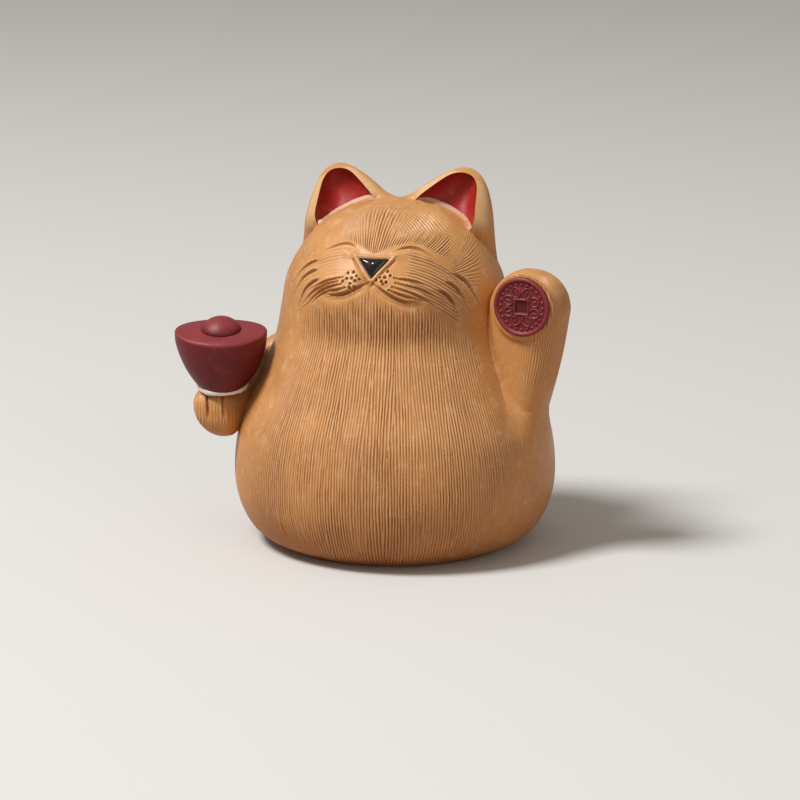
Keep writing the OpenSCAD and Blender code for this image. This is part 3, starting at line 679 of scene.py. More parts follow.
def combDown(turn, arc, z, radius, up):
    # strokes of a fine comb side by side down the body, fading to its sides; in each stroke the grooves keep
    # their distance from its middle line
    wide = hair["stroke"]
    strip = np.floor(turn / wide + 0.3 * ripple(turn / wide, arc * 0.05, 16))
    offset = np.radians(turn - (strip + 0.5) * wide) * radius
    lines = combLines(offset / hair["pitch"] + 7.37 * strip, arc, 11)
    front = np.abs(turn) < 90
    fromMiddle = np.where(front, turn, turn - 180)
    reach = np.interp(z, *hair["reach"]) + hair["lopsided"] * np.tanh(fromMiddle / 20)
    patch = 0.95 + 0.2 * ripple(turn * 0.09, arc * 0.12, 5) + 0.35 * front * hill(up, -12, 4)
    return lines * patch * np.exp(-(fromMiddle / reach) ** 4) * ease(radius, 5, 13)


def combFan(across, up, radius):
    # grooves that fan over the forehead from a point below the nose, fainter on the right side
    rise = up + hair["fanDrop"]
    spread = np.hypot(across, rise)
    full = fade(spread, 21, 29) * (0.15 + 0.85 * ease(across, -10, -4))
    full = full * fade(across, 13, 18) * ease(radius, 4, 10)
    return hair["fan"] * combLines(np.arctan2(across, rise) * hair["fanLanes"], spread, 21) * full


def combCheek(across, up):
    # grooves swept back over the cheeks
    side = np.abs(across)
    sweep = (up + hair["sweepBend"] * across ** 2) / hair["sweepPitch"]
    return combLines(sweep, side, 31) * ease(side, 5.5, 8) * fade(side, 17, 23)


def combTemple(across, up):
    # rays from the outer end of the left eye
    side = np.abs(across)
    ray = np.arctan2(up + hair["templeDrop"], side - hair["templeOut"])
    lines = hair["temple"] * combLines(ray * hair["templeLanes"], side, 35)
    return lines * ease(across, 14.5, 17) * fade(side, 21, 26) * hill(ray, 0.25, 0.5)


def combField(turn, arc, z, radius, across, up):
    # down the body from the chin, fanning over the forehead, and swept back on the cheeks and the left temple
    side, front = np.abs(across), np.abs(turn) < 90
    eyeLine, mouthLine = np.interp(side, *hair["eyes"]), np.interp(side, *hair["mouth"])
    ragged = mouthLine + hair["ragged"] * ripple(across * 2.6, 0 * across, 41)
    below = 1 - ease(up, ragged - 3.4, ragged - 0.4) * front
    above = ease(up, eyeLine + 0.5, eyeLine + 1.6) * front
    between = front * fade(up, eyeLine - 1.4, eyeLine - 0.6) * ease(up, mouthLine, mouthLine + 1)
    between = (0.75 + 0.35 * np.sign(across)) * between
    comb = below * combDown(turn, arc, z, radius, up) + above * combFan(across, up, radius)
    return comb + between * combCheek(across, up) + front * combTemple(across, up) * (up > -6)


def earLip(points):
    # ridge of clay pushed up along the lower edge of each ear's lining
    x, y = cupPoint(np.linspace(-0.97, 0.97, 70)[None, :], np.zeros((1, 1)))
    edge = onHead(earPlace(x, y, 0 * x, 0 * x), 0)[0]
    high = points[..., 2] > ear["lipLow"]
    near = np.full(points.shape[:2], 1e9)
    folded = np.abs(points[high] * [1, 0, 0]) + points[high] * [0, 1, 1]
    near[high] = np.min([np.linalg.norm(folded - p, axis=-1) for p in edge], axis=0)
    return hill(near, 0, 1.0)


def bodySkin(turn, arc):
    # point of the skin: the outline turned round the axis, moved along its normal by the relief
    place, normal = alongOutline(arc)
    radius, z = place[..., 0], place[..., 1]
    t, front = np.radians(turn), np.abs(turn) < 90
    across, up = t * radius, arc - noseArc
    onFace = front * ease(z, body["headZ"] - 8, body["headZ"] - 4)
    edge = noseEdge(across, up)
    cut = np.where(onFace > 0, faceCarving(across, up), 0) * onFace + front * flankStrokes(across, up)
    comb = combField(turn, arc, z, radius, across, up) * (1 - onFace * fade(edge, 0.9, 1.5))
    comb = comb * fade(cut, 0.03, 0.12) * ease(z, 0.1, 1.3)
    ridge = nose["ridge"] * hill(edge, 0.42, 0.3) - nose["ditch"] * hill(edge, 1.0, 0.22) * (up < 1.2)
    ridge = onFace * ridge
    lip = earLip(aroundAxis(radius, t, z))
    relief = np.where(front, faceSwell(turn, z) + onFace * faceLift(across, up), 0) + ridge + lip
    height = relief - cut - hair["depth"] * comb + armFillet(turn, radius, z, normal)
    # painted shade darkens the cuts, hair grooves, the ditch round the nose and the crease by the raised arm;
    # painted highlights lighten burrs, the ridges between hair grooves and the ridge round the nose
    dark = np.clip(body["cutShade"] * cut, 0, 1) + np.clip(body["hairShade"] * comb, 0, 0.9)
    dark = dark + np.clip(-body["ditchShade"] * ridge, 0, 1) + body["creaseShade"] * armCreaseShade(turn, radius, z)
    wear_and_highlight = np.clip(-body["burrHighlight"] * cut, 0, 0.6) + np.clip(body["ridgeHighlight"] * ridge, 0, 0.6)
    wear_and_highlight = wear_and_highlight + np.clip(-body["hairHighlight"] * comb, 0, 0.7)
    # painted highlight along the ridge under each ear's lining, stronger on the ear on the key lamp's side
    highlight = ease(lip, 0.1, 0.5) * np.where(turn < 0, *body["highlight"])
    return offBody(place, normal, t, height), {"cut": np.clip(dark, 0, 1), "wear_and_highlight": wear_and_highlight, "highlight": highlight}


def rowArcs(low, high, wide, close):
    # rows of the grid between two places on the outline: close together on the face, wider apart elsewhere
    arc = np.linspace(low, high, 3000)
    onFace = ease(arc - noseArc, -15, -12) * fade(arc - noseArc, 5, 9)
    step = wide + (close - wide) * onFace
    count = np.concatenate([[0], np.cumsum(np.diff(arc) / step[1:])])
    return np.interp(np.linspace(0, count[-1], int(count[-1]) + 1), count, arc)


def bodyShell(name, turns, arcs, node):
    # outer skin closed to the axis: a standing shell has a foot ring and a ceiling over the base slab, an
    # upper edge below the crown is tucked under the shell above it, and flat seams close both sides
    turn, arc = np.meshgrid(turns, arcs)
    skin, marks = bodySkin(turn, arc)
    t = np.radians(turns)
    standing, topped = arcs[0] == 0, arcs[-1] > outlineArc[-1] - 1
    if not topped:
        tuck = body["tuck"] * ease(arc, arcs[-1] - body["tuckRun"], arcs[-1])
        skin = skin - tuck[..., None] * aroundAxis(1, t, 0)
    below = np.zeros((0, len(t), 3))
    if standing:
        ring = aroundAxis(body["footR"] - body["wall"], t, 0)
        below = np.stack([ring + [0, 0, body["baseT"] + body["baseGap"]], ring])
    rings = np.concatenate([below, skin])
    rows, cols = rings.shape[:2]
    lowEnd = [0, 0, rings[0, :, 2].mean()]
    highEnd = [0, 0, body["crownZ"] if topped else rings[-1, :, 2].mean()]
    points = np.vstack([rings.reshape(-1, 3), lowEnd, highEnd])
    lowPoint, highPoint = rows * cols, rows * cols + 1
    side, top = np.arange(cols - 1), (rows - 1) * cols
    low = np.stack([np.full(cols - 1, lowPoint), side + 1, side], -1)
    high = np.stack([top + side, top + side + 1, np.full(cols - 1, highPoint)], -1)
    seam = np.arange(rows) * cols
    seams = [seam.tolist() + [highPoint, lowPoint], [lowPoint, highPoint] + (seam + cols - 1)[::-1].tolist()]
    faces = gridQuads(rows, cols, False, False) + low.tolist() + high.tolist() + seams
    pad = np.zeros(len(below) * cols)
    marks = {mark: np.concatenate([pad, values.ravel(), [0, 0]]) for mark, values in marks.items()}
    meshPiece(name, points, faces, "clay", [node], marks)


def frontTurns(count, even, cubed):
    # columns from one side to the other, closer together in the middle by a share of a cube
    share = np.linspace(-1, 1, count)
    return 90 * (even * share + cubed * share ** 3)


def makeBody():
    # head and belly in front and one shell behind, all closed to the axis; the base slab keeps its own mesh
    split, crown = arcAt(body["splitZ"]), outlineArc[-1] - body["crownGap"]
    headArcs = rowArcs(split, crown, body["headStep"], body["faceStep"])
    bellyArcs = rowArcs(0, split + body["overlap"], body["bellyStep"], body["bellyStep"])
    backArcs = rowArcs(0, crown, body["backStep"], body["backStep"])
    bodyShell("catHead", frontTurns(body["headCols"], *body["headSpread"]), headArcs, "body_front_half")
    bodyShell("catBelly", frontTurns(body["bellyCols"], *body["bellySpread"]), bellyArcs, "body_front_half")
    bodyShell("catBack", np.linspace(90, 270, body["backCols"]), backArcs, "body_back_half")
    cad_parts["base_disc"].data.materials.clear()
    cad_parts["base_disc"].data.materials.append(finishes["clay"])


# Arms, and the ingot on the right paw

def coinBed(points):
    # distance from the round bed of clay that holds the coin and tapers to its back, in the arm's plane
    axis = np.hypot(points[..., 0] - pawOut - coin["shift"], points[..., 2] - coin["z"])
    front = coin["inset"] - 0.5 * arm["pawD"] - points[..., 1]
    middle, half = (coin["bedH"] - coin["bedD"]) / 2, (coin["bedH"] + coin["bedD"]) / 2
    taper = (coin["bedW"] + coin["bedD"] / 2) / (coin["bedD"] + coin["bedH"])
    radius = coin["d"] / 2 + coin["bedW"] - taper * np.clip(coin["bedH"] - front, 0, None)
    return np.maximum((axis - radius) / math.hypot(1, taper), np.abs(front - middle) - half)


def bedCoin(rings):
    # clay drawn up round the coin, and the paw's skin kept clear of the coin's back
    normal = skinNormals(rings, True)
    over = lambda height: coinBed(rings + height[..., None] * normal)
    bedded = rings + swellOver(over, coin["bedJoin"], rings.shape[:2])[..., None] * normal
    x, y, z = bedded[..., 0], bedded[..., 1], bedded[..., 2]
    under = np.hypot(x - pawOut - coin["shift"], z - coin["z"]) < coin["d"] / 2 - coin["bedClear"]
    floor = coin["inset"] - 0.5 * arm["pawD"] - coin["bedClear"]
    return xyz(x, np.where(under & (y < 0), np.maximum(y, floor), y), z), normal


def raisedArm():
    # level rounded rings up the arm, closing over the paw by cosine and sine, with combed grooves along it
    tip = capAngles(52)
    rows = raisedRows[::5]
    z = np.concatenate([rows[:, 0], pawLevel + (arm["pawTop"] - pawLevel) * np.sin(tip)])
    shrink = np.concatenate([np.ones(len(rows)), np.cos(tip)])
    out, wide, deep = (np.concatenate([rows[:, k], np.full(len(tip), rows[-1, k])]) for k in (1, 2, 3))
    c, s = superRing(540, arm["square"])
    rings = xyz(out[:, None] + (shrink * wide)[:, None] * c, (shrink * deep)[:, None] * s, z[:, None])
    rings, normal = bedCoin(rings)
    rings, normal = fromArmPlane(rings), fromArmPlane(normal)
    high = rings[..., 2]
    join = swellOver(lambda rise: bodyGap(rings + rise[..., None] * normal), armReach(high), high.shape)
    depth = bodyRadius(high) - np.hypot(rings[..., 0], rings[..., 1])
    join = join * fade(depth, 0, 2.5) * ease(high, 17, 22) - 0.3 * fade(high, 26, 29)
    stepX, stepY = (np.diff(v[0], append=v[0, :1]) for v in (c, s))
    side = np.hypot(stepX * arm["pawW"], stepY * arm["pawD"]) / 2
    lanes = np.round(side.sum() / arm["groovePitch"]) * np.cumsum(side)[None, :] / side.sum()
    comb = combLines(lanes + 0 * z[:, None], high, 41) * ease(c + 0.15 * s, -0.1, 0.5)
    comb = comb * ease(z, *arm["grooveLow"])[:, None] * fade(z, *arm["grooveTop"])[:, None]
    rings = rings + (join - arm["grooveDepth"] * comb)[..., None] * normal
    # painted shade in the grooves and painted highlights on the ridges between them
    marks = {"cut": np.clip(1.2 * comb, 0, 1), "wear_and_highlight": np.clip(-1.2 * comb, 0, 1)}
    loftPiece("armWithCoin", rings, "clay", ["raised_arm"], marks)


def ingotRows(palmMid, tip):
    # a run from the shoulder to the rounded end of the paw: out, back, height, half height, half depth, slope
    h, d = arm["palmH"], arm["palmD"]
    back = ingot["width"] / 2 + 0.093 * d - arm["palmFwd"]
    out = bodyRadius(arm["shoulderZ"])
    elbow = (palmOut + bodyRadius(arm["palmZ"])) / 2 - 0.22 * d
    knots = [
        [out - 0.28 * d, back - 0.05 * d, arm["shoulderZ"], 0.2 * h, 0.24 * d, -45],
        [out + 0.15 * d, back, arm["shoulderZ"] - 0.45 * h, 0.34 * h, 0.38 * d, -42],
        [elbow, back, palmMid + 0.38 * h, 0.42 * h, 0.39 * d, -34],
        [palmOut - 0.055 * d, 0.09 * d - arm["palmFwd"], palmMid, 0.5 * h, 0.5 * d, -14],
        [palmOut + 0.22 * d, -arm["palmFwd"], palmMid + 0.07 * h, 0.44 * h, 0.47 * d, -4],
    ]
    rows = through(knots, np.linspace(0, 3, 140))
    ahead = np.sin(tip)[:, None]
    ending = rows[-1] + ahead * [0.275 * d + 0.31 * h, -0.09 * d, -0.16 * h, 0, 0, 10]
    ending = ending + ahead ** 2 * [0, 0, 0.21 * h, 0, 0, 0]
    return np.vstack([rows, ending]), np.concatenate([np.ones(len(rows)), np.cos(tip) ** 0.9])


def ingotArm():
    # rounded rings across the run, with fine grooves and two deeper ones between the fingers
    h, d = arm["palmH"], arm["palmD"]
    palmMid = arm["palmZ"] + ingot["beadH"] - h / 2
    rows, shrink = ingotRows(palmMid, capAngles(90))
    out, back, z, halfHigh, halfDeep, lean = (rows[:, k][:, None] for k in range(6))
    shrink, lean = shrink[:, None], np.radians(lean)
    c, s = superRing(280, arm["palmSquare"])
    high = shrink * halfHigh * s
    flat = xyz(out - np.sin(lean) * high, back + shrink * halfDeep * c, z + np.cos(lean) * high)
    rings = fromArmPlane(flat, True)
    normal = -skinNormals(rings, True)
    facing = ease(-(flat[..., 1] + arm["palmFwd"]) / d, 0.05, 0.3)
    out, level = flat[..., 0], (flat[..., 2] - palmMid) / h
    comb = combLines(out / arm["combPitch"], flat[..., 2], 91) * facing * ease(level, -0.42, -0.15)
    cut = arm["combDepth"] * comb
    for place, depth in arm["fingers"]:
        gap = np.abs(out - palmOut - place * d - 0.7 * level)
        depth = depth * facing * ease(level, -0.16, 0.08) * fade(level, 0.3, 0.42)
        cut = cut + groove(gap, arm["fingerW"], depth)
    rings = rings - cut[..., None] * normal
    # painted shade in the grooves and painted highlights on the ridges and burrs beside them
    marks = {"cut": np.clip(2.2 * cut, 0, 1), "wear_and_highlight": np.clip(-4 * cut, 0, 0.6)}
    loftPiece("armWithIngot", rings, "clay", ["ingot_arm"], marks)


def fromPalm(points):
    # leans forward with the ingot, stands on the paw, and goes to the other side of the body
    a = math.radians(ingot["lean"])
    x, y, z = points[..., 0], points[..., 1], points[..., 2]
    leaned = xyz(x, y * math.cos(a) - z * math.sin(a), y * math.sin(a) + z * math.cos(a))
    return fromArmPlane(leaned + [palmOut, -arm["palmFwd"], arm["palmZ"]], True)


def makeIngot():
    # oval rings that widen by a power of a sine of their height, a rounded lip lifted at both ends, and a
    # crowned top
    t = fullTurn(240)
    half = [ingot["length"] / 2, ingot["width"] / 2]
    tall = ingot["height"] - ingot["beadH"]

    def ovals(rise):
        swelled = np.sin(np.pi / 2 * rise) ** ingot["swell"]
        x, y = (ingot["footR"] + (size - ingot["footR"]) * swelled for size in half)
        z = ingot["beadH"] + tall * rise + ingot["lift"] * rise * np.cos(t) ** 2
        return xyz(x * np.cos(t), y * np.sin(t), z)

    sideRows = 70
    side = ovals(np.linspace(0, ingot["lip"], sideRows)[:, None])
    rim = ovals(np.ones((1, 1)))[0]
    drop = (1 - ingot["lip"]) * tall
    # share of the rim's size, drop below the rim, and rise from the rim to the crown
    lip = [[1, -1, 0], [0.993, -0.4, 0], [0.97, -0.06, 0.12], [0.92, 0, 0.36], [0.8, 0, 0.72],
           [0.55, 0, 0.97], [0.3, 0, 1], [0.02, 0, 1]]
    lip = through(lip, np.linspace(0, len(lip) - 1, 90)[1:])
    share, below, rise = (lip[:, k][:, None] for k in range(3))
    crown = ingot["height"] + ingot["crown"] - rim[:, 2]
    top = xyz(share * rim[:, 0], share * rim[:, 1], rim[:, 2] + drop * below + rise * crown)
    rings = np.concatenate([[side[0] * [1, 1, 0]], side, top])
    dent = ingot["dent"] * ripple(np.cos(t) * 3 + 9 + 0 * rings[..., 2], rings[..., 2] * 0.5, 51)
    rings = rings + dent[..., None] * rings * [1, 1, 0] / 8
    pastSide = np.arange(len(rings))[:, None] - sideRows
    # painted light: a painted highlight on the lip, and the top painted lighter than the sides where the lamp
    # falls on it
    wear_and_highlight = 0.25 * hill(pastSide, 9, 7) + 0.45 * ease(pastSide, 4, 16) + 0 * t
    loftPiece("ingotBoat", fromPalm(rings), "maroon_clay", ["ingot"], {"cut": 0 * wear_and_highlight, "wear_and_highlight": wear_and_highlight})


def makeDome():
    # spherical cap, drawn in a little where it meets the ingot's top
    r, h = ingot["domeR"], ingot["domeH"]
    ball = (r * r + h * h) / (2 * h)
    a = np.linspace(math.asin(min(r / ball, 1)), 0.01, 50)[:, None]
    t = fullTurn(120)
    z = h - ball * (1 - np.cos(a))
    wide = ball * np.sin(a) * (1 - ingot["domePinch"] * np.exp(-z / 0.35))
    cap = xyz(wide * np.cos(t), wide * np.sin(t), z)
    rings = np.concatenate([[cap[0] * [1, 1, 0] - [0, 0, 0.5]], cap])
    # painted shade where the dome meets the ingot's top, and painted light on its upper part
    cut = np.concatenate([1 + 0 * t, np.exp(-z / 0.3) + 0 * t])
    wear_and_highlight = np.concatenate([0 * t, 0.45 * ease(z, 0.1 * h, 0.7 * h) + 0 * t])
    rings = fromPalm(rings + [0, 0, ingot["height"] + ingot["crown"]])
    loftPiece("ingotDome", rings, "maroon_clay", ["ingot_dome"], {"cut": cut, "wear_and_highlight": wear_and_highlight})


def makeBead():
    # ring of slip squeezed out round the ingot's foot, thicker and thinner by turns
    t, a = fullTurn(200), fullTurn(24).T
    broad, fine = ingot["beadUneven"]
    plump = 1 + broad * ripple(t * 1.9, 0 * t, 61) + fine * ripple(t * 6, 0 * t, 62)
    middle = ingot["footR"] + 0.1 * ingot["beadW"]
    r = middle + 0.85 * ingot["beadW"] * plump * np.cos(a)
    z = ingot["beadH"] * (0.5 + 0.5 * plump * np.sin(a))
    points = fromPalm(xyz(r * np.cos(t), r * np.sin(t), z))
    faces = gridQuads(*points.shape[:2], True, True)
    meshPiece("slipBead", points.reshape(-1, 3), faces, "white_slip", ["slip_ring"])


# Coin: a disc with a raised rim, a sunk square, and petals and beads between them

coin = {
    "d": 11.6, "t": 1.8, "rim": 0.9, "field": 0.4, "round": 0.42, "z": 51.1, "inset": 0.9, "shift": 1.1,
    "bedW": 0.6, "bedH": 0.9, "bedD": 4.0, "bedJoin": 1.6, "bedClear": 0.3,
    "relief": 0.26, "square": 2.4, "squareSink": 0.22,
    "petals": 8, "petalStart": 1.9, "petalRun": 2.2, "petalWidth": 0.42,
    "beads": 24, "beadRing": 4.45, "beadR": 0.28,
}


def coinRelief(r, t):
    # height of the coin's face at a radius and an angle
    edge = coin["d"] / 2 - coin["rim"]
    square = np.maximum(np.abs(r * np.cos(t)), np.abs(r * np.sin(t))) - coin["square"] / 2
    z = coin["t"] - coin["field"] + coin["field"] * ease(r, edge - 0.1, edge + 0.36)
    z = z - coin["squareSink"] * fade(square, -0.1, 0.06)
    z = z + coin["relief"] * hill(square, 0.26, 0.15)
    lane = t * coin["petals"] / (2 * np.pi)
    off = np.abs(lane - np.floor(lane) - 0.5)
    run = (r - coin["petalStart"]) / coin["petalRun"]
    inside = (run > 0) & (run < 1)
    run = np.clip(run, 0, 1)
    leaf = coin["petalWidth"] * np.sin(np.pi * run ** 0.8)
    vein = hill(off, 0, 0.05) * ease(run, 0.1, 0.3) * fade(run, 0.6, 0.8)
    petal = hill(off, leaf, 0.07) * inside + 0.7 * vein
    z = z + coin["relief"] * np.clip(petal, 0, 1) * ease(square, 0.25, 0.5)
    step = 2 * np.pi / coin["beads"]
    swing = (t + step / 2) % step - step / 2
    bead = np.hypot(r - coin["beadRing"], coin["beadRing"] * swing) / coin["beadR"]
    return z + coin["relief"] * np.sqrt(np.clip(1 - bead ** 2, 0, 1))


def makeCoin():
    # rings from the back's edge up the side, round the rim by cosine and sine, and in over the face
    t = fullTurn(288)
    rimR, bend = coin["d"] / 2, coin["round"]
    a = np.linspace(0, np.pi / 2, 8)[1:, None]
    inward = np.linspace(0.03, rimR - bend, 110)[::-1, None]
    r = np.concatenate([[[rimR]], rimR - bend + bend * np.cos(a), inward])
    edgeZ = coin["t"] - bend + bend * np.sin(a) + 0 * t
    high = np.concatenate([0 * t, edgeZ, coinRelief(inward, t)])
    low = fade(high, coin["t"] - 0.75, coin["t"] - 0.2)
    rings = xyz(r * np.cos(t), -high, r * np.sin(t))
    rings = fromArmPlane(rings + [pawOut + coin["shift"], coin["inset"] - 0.5 * arm["pawD"], coin["z"]])
    # the low field darker, the rim and the relief lighter
    marks = {"cut": 0.8 * low, "wear_and_highlight": 0.5 * ease(1 - low, 0.5, 1)}
    loftPiece("coinDisc", rings, "maroon_clay", ["coin"], marks, 70)


# Ears: a rounded horn with a cup in its front; w runs to the outer side, v to the back and u up the ear

ear = {
    "height": 10.6, "out": 9.8, "in": 9.4, "back": 6.3, "front": 7.2, "flare": 3.6, "apron": 7.9, "fill": 0.8,
    "rim": 1.9, "flank": 4.0, "taper": 0.55, "cup": 7.4, "cupTop": 0.87, "arch": 14, "least": 0.04,
    "lining": 0.8, "turn": 110.0, "rise": 59.0, "lean": 18.0, "tilt": 23.0, "foot": 0.22, "lipLow": 56,
    "sideRound": 12.0, "backRound": 1.5, "frontRound": 1.5, "rootSink": 0.05, "footSink": 0.014,
    "footPull": 0.66, "liningTop": 0.997, "liningThin": 0.85,
    "backCols": 73, "lipCols": 12, "cupCols": 61, "liningCols": 91, "combDepth": 0.1, "wornLip": 0.6,
}


def horn(half, rounding, share):
    # half size at a share of the height, from the half size at the root, with a rounded tip
    slope = np.hypot(half, rounding) - rounding
    return np.sqrt(np.clip((slope * (1 - share) + rounding) ** 2 - rounding ** 2, 0, None))


def earSide(x, share):
    # half width of the ear, which differs between its outer and its inner side
    return horn(np.where(x > 0, ear["out"], ear["in"]), ear["sideRound"], share)


def earFront(share):
    return -horn(ear["front"], ear["frontRound"], share)


def halfRound(x):
    return np.sqrt(np.clip(1 - x * x, 0, 1))   # height of a half circle over its share across


def cupPoint(c, share):
    # wall of the cup: its edge keeps the rim's width and arches over at the top, and it deepens to the middle
    full = np.clip(share, 0, None) / ear["cupTop"]
    rim = np.where(c > 0, ear["flank"], ear["rim"]) * (1 - ear["taper"] * full ** 2)
    arch = np.sqrt(np.clip(1 - full ** ear["arch"], 0, 1))
    x = c * np.maximum(arch * (1 - rim / np.maximum(earSide(c, share), 0.01)), ear["least"])
    low = np.clip(1 - full ** 2, 0, 1) ** 0.6
    return x, earFront(share) * halfRound(x) + ear["cup"] * low * halfRound(c)


def earPlace(x, y, share, spread):
    # place of a point of the ear, from its share across, distance back, share of the height, and spread
    tilt, lean, turn, rise = (math.radians(ear[k]) for k in ("tilt", "lean", "turn", "rise"))
    w = np.array([math.cos(tilt), 0, -math.sin(tilt)])
    u = np.array([math.sin(tilt) * math.cos(lean), math.sin(lean), math.cos(tilt) * math.cos(lean)])
    v = np.cross(u, w)
    flat = body["headR"] * math.cos(rise)
    root = np.array([flat * math.sin(turn), -flat * math.cos(turn), topRise * math.sin(rise)])
    root = (1 - ear["rootSink"]) * root + [0, 0, body["headZ"]]
    along = (ear["height"] * share)[..., None] * u
    across = (x * earSide(x, share) + spread * x)[..., None] * w
    return root + along + across + (y + spread * halfRound(x))[..., None] * v


def onHead(p, sink):
    # point pulled onto the ellipse of the head, sunk by a share of its size
    d = p - [0, 0, body["headZ"]]
    size = np.linalg.norm(d / [body["headR"], body["headR"], topRise], axis=-1, keepdims=True)
    return (1 - sink) * d / size + [0, 0, body["headZ"]]


def earRings(section, shares):
    # the foot is a curve from the head, by way of the root, to the horn, and runs further down on the outer
    # side, where its hollow is filled; above the foot the section shrinks to the tip

    def ringsAt(share):
        x, y, _ = section(share)
        return earPlace(x, y, share + 0 * x, 0 * x)

    t = np.linspace(0, 1, 36)[:-1, None, None]
    x, y, spread = section(np.zeros((1, 1)))
    outer = np.clip(x, 0, 1) ** 2
    flare = ear["flare"] + (ear["apron"] - ear["flare"]) * outer
    a = onHead(earPlace(x, y, 0 * x, spread * flare), ear["footSink"])
    b = onHead(earPlace(x, y, 0 * x, 0 * x), 0)
    foot = np.full((1, 1), ear["foot"])
    c = ringsAt(foot)
    b = b + (ear["fill"] * outer * spread)[..., None] * ((a + c) / 2 - b)
    rise = ringsAt(foot + 0.01) - c
    rise = rise / np.linalg.norm(rise, axis=-1, keepdims=True)
    before = c - ear["footPull"] * np.linalg.norm(c - b, axis=-1, keepdims=True) * rise
    after = a + ear["footPull"] * (b - a)
    curve = (1 - t) ** 3 * a + 3 * t * (1 - t) ** 2 * after + 3 * t ** 2 * (1 - t) * before + t ** 3 * c
    return np.concatenate([curve, ringsAt(shares[:, None])])


def earSection(share):
    # back half ellipse, inner lip, cup wall and outer lip, as shares across and distances back
    t = np.linspace(0, np.pi, ear["backCols"])[None, :]
    back = [np.cos(t) + 0 * share, horn(ear["back"], ear["backRound"], share) * np.sin(t)]
    cup = cupPoint(-np.cos(np.linspace(0, np.pi, ear["cupCols"]))[None, :], share)
    lipShare = np.linspace(0, 1, ear["lipCols"] + 2)[None, 1:-1]
    inner = -np.cos(np.arccos(-cup[0][:, :1]) * lipShare)
    outer = np.cos(np.arccos(cup[0][:, -1:]) * (1 - lipShare))
    lips = [[x, earFront(share) * np.sqrt(1 - x * x)] for x in (inner, outer)]
    x, y = (np.concatenate([back[k], lips[0][k], cup[k], lips[1][k]], 1) for k in (0, 1))
    spread = [np.ones(ear["backCols"]), 1 - lipShare[0], np.zeros(ear["cupCols"]), lipShare[0]]
    return x, y, np.concatenate(spread)[None, :] + 0 * share


def cupWall(share):
    x, y = cupPoint(-np.cos(np.linspace(0, np.pi, ear["liningCols"]))[None, :], share)
    return x, y, 0 * x


def liningRings():
    # the wall of the cup and a layer laid on it along its normals, which thins towards its edge and its top
    climb = np.sin(np.linspace(0, np.pi / 2, 60))
    shares = ear["foot"] + (ear["liningTop"] * ear["cupTop"] - ear["foot"]) * climb
    wall = earRings(cupWall, shares)
    edge = np.sin(np.linspace(0, np.pi, wall.shape[1]))[None, :]
    level = np.concatenate([np.zeros(len(wall) - len(shares)), shares / ear["cupTop"]])[:, None]
    layer = ear["lining"] * edge * (1 - ear["liningThin"] * level ** 5)
    return np.concatenate([wall[:, ::-1], wall + layer[..., None] * skinNormals(wall, False)], 1)


def makeEars():
    # rings closer together towards the cup's top; combed marks with painted shade in their grooves on the
    # outer back, and lips worn pale
    climb = np.sin(np.linspace(0, np.pi / 2, 55))
    shares = ear["foot"] + (ear["cupTop"] - ear["foot"]) * climb
    shares = np.concatenate([shares, ear["cupTop"] + (1 - ear["cupTop"]) * climb[2:-2:2]])
    rings = earRings(earSection, shares)
    column = np.arange(rings.shape[1])[None, :]
    level = np.linspace(0, 1, rings.shape[0])[:, None]
    comb = combLines(column * 0.3 + 0 * level, level * 9, 71) * ease(column, 0, 8) * fade(column, 40, 70)
    comb = comb * hill(level, 0.3, 0.22)
    innerLip = ear["backCols"] + ear["lipCols"] - 2
    outerLip = innerLip + ear["cupCols"] + 4
    wear_and_highlight = ear["wornLip"] * (hill(column, innerLip, 5) + hill(column, outerLip, 5))
    wear_and_highlight = wear_and_highlight * ease(level, 0.1, 0.3) * fade(level, 0.6, 0.72)
    rings = rings - ear["combDepth"] * comb[..., None] * skinNormals(rings, True)
    fill = liningRings()
    edge = np.abs(np.linspace(-1, 1, ear["liningCols"]))
    shadow = np.concatenate([0 * edge, 0.5 * edge ** 6])[None, :] + 0 * fill[..., 0]
    for side, sign in (("left", 1), ("right", -1)):
        marks = {"cut": 0.5 * comb, "wear_and_highlight": wear_and_highlight}
        loftPiece(side + "Ear", rings * [sign, 1, 1], "clay", [side + "_ear"], marks)
        lined = fill * [sign, 1, 1]
        loftPiece(side + "EarLining", lined, "red_slip", [side + "_ear_lining"], {"cut": shadow})


def makeNose():
    # three-cornered pillow on the skin: its edge is the soft minimum of three straight sides
    lean = math.atan2(nose["half"], nose["top"] - nose["tip"])
    slant = -nose["tip"] * math.sin(lean)
    sides = [(90, nose["top"]), (-math.degrees(lean), slant), (180 + math.degrees(lean), slant)]
    t = fullTurn(160)
    power = nose["corners"]
    pull = sum(np.clip(np.cos(t - math.radians(angle)) / far, 0, None) ** power for angle, far in sides)
    reach = (pull + 1e-9) ** (-1 / power)
    dome = np.linspace(0, np.pi / 2, 40)[:-1]
    share = np.concatenate([np.ones(2), np.cos(dome)])[:, None]
    rise = nose["edge"] + nose["rise"] * np.sin(dome) ** 0.8
    rise = np.concatenate([[nose["sink"], nose["edge"]], rise])[:, None]
    across, up = share * reach * np.cos(t), share * reach * np.sin(t)
    place, normal = alongOutline(noseArc + up)
    turn = across / place[..., 0]
    height = rise + faceSwell(np.degrees(turn), place[..., 1])
    loftPiece("noseBead", offBody(place, normal, turn, height), "black_glaze", ["nose"])


tail = {"reach": 5.6, "width": 9.0, "z": 10.0, "grooves": 26, "grooveDepth": 0.14, "tip": 0.33}


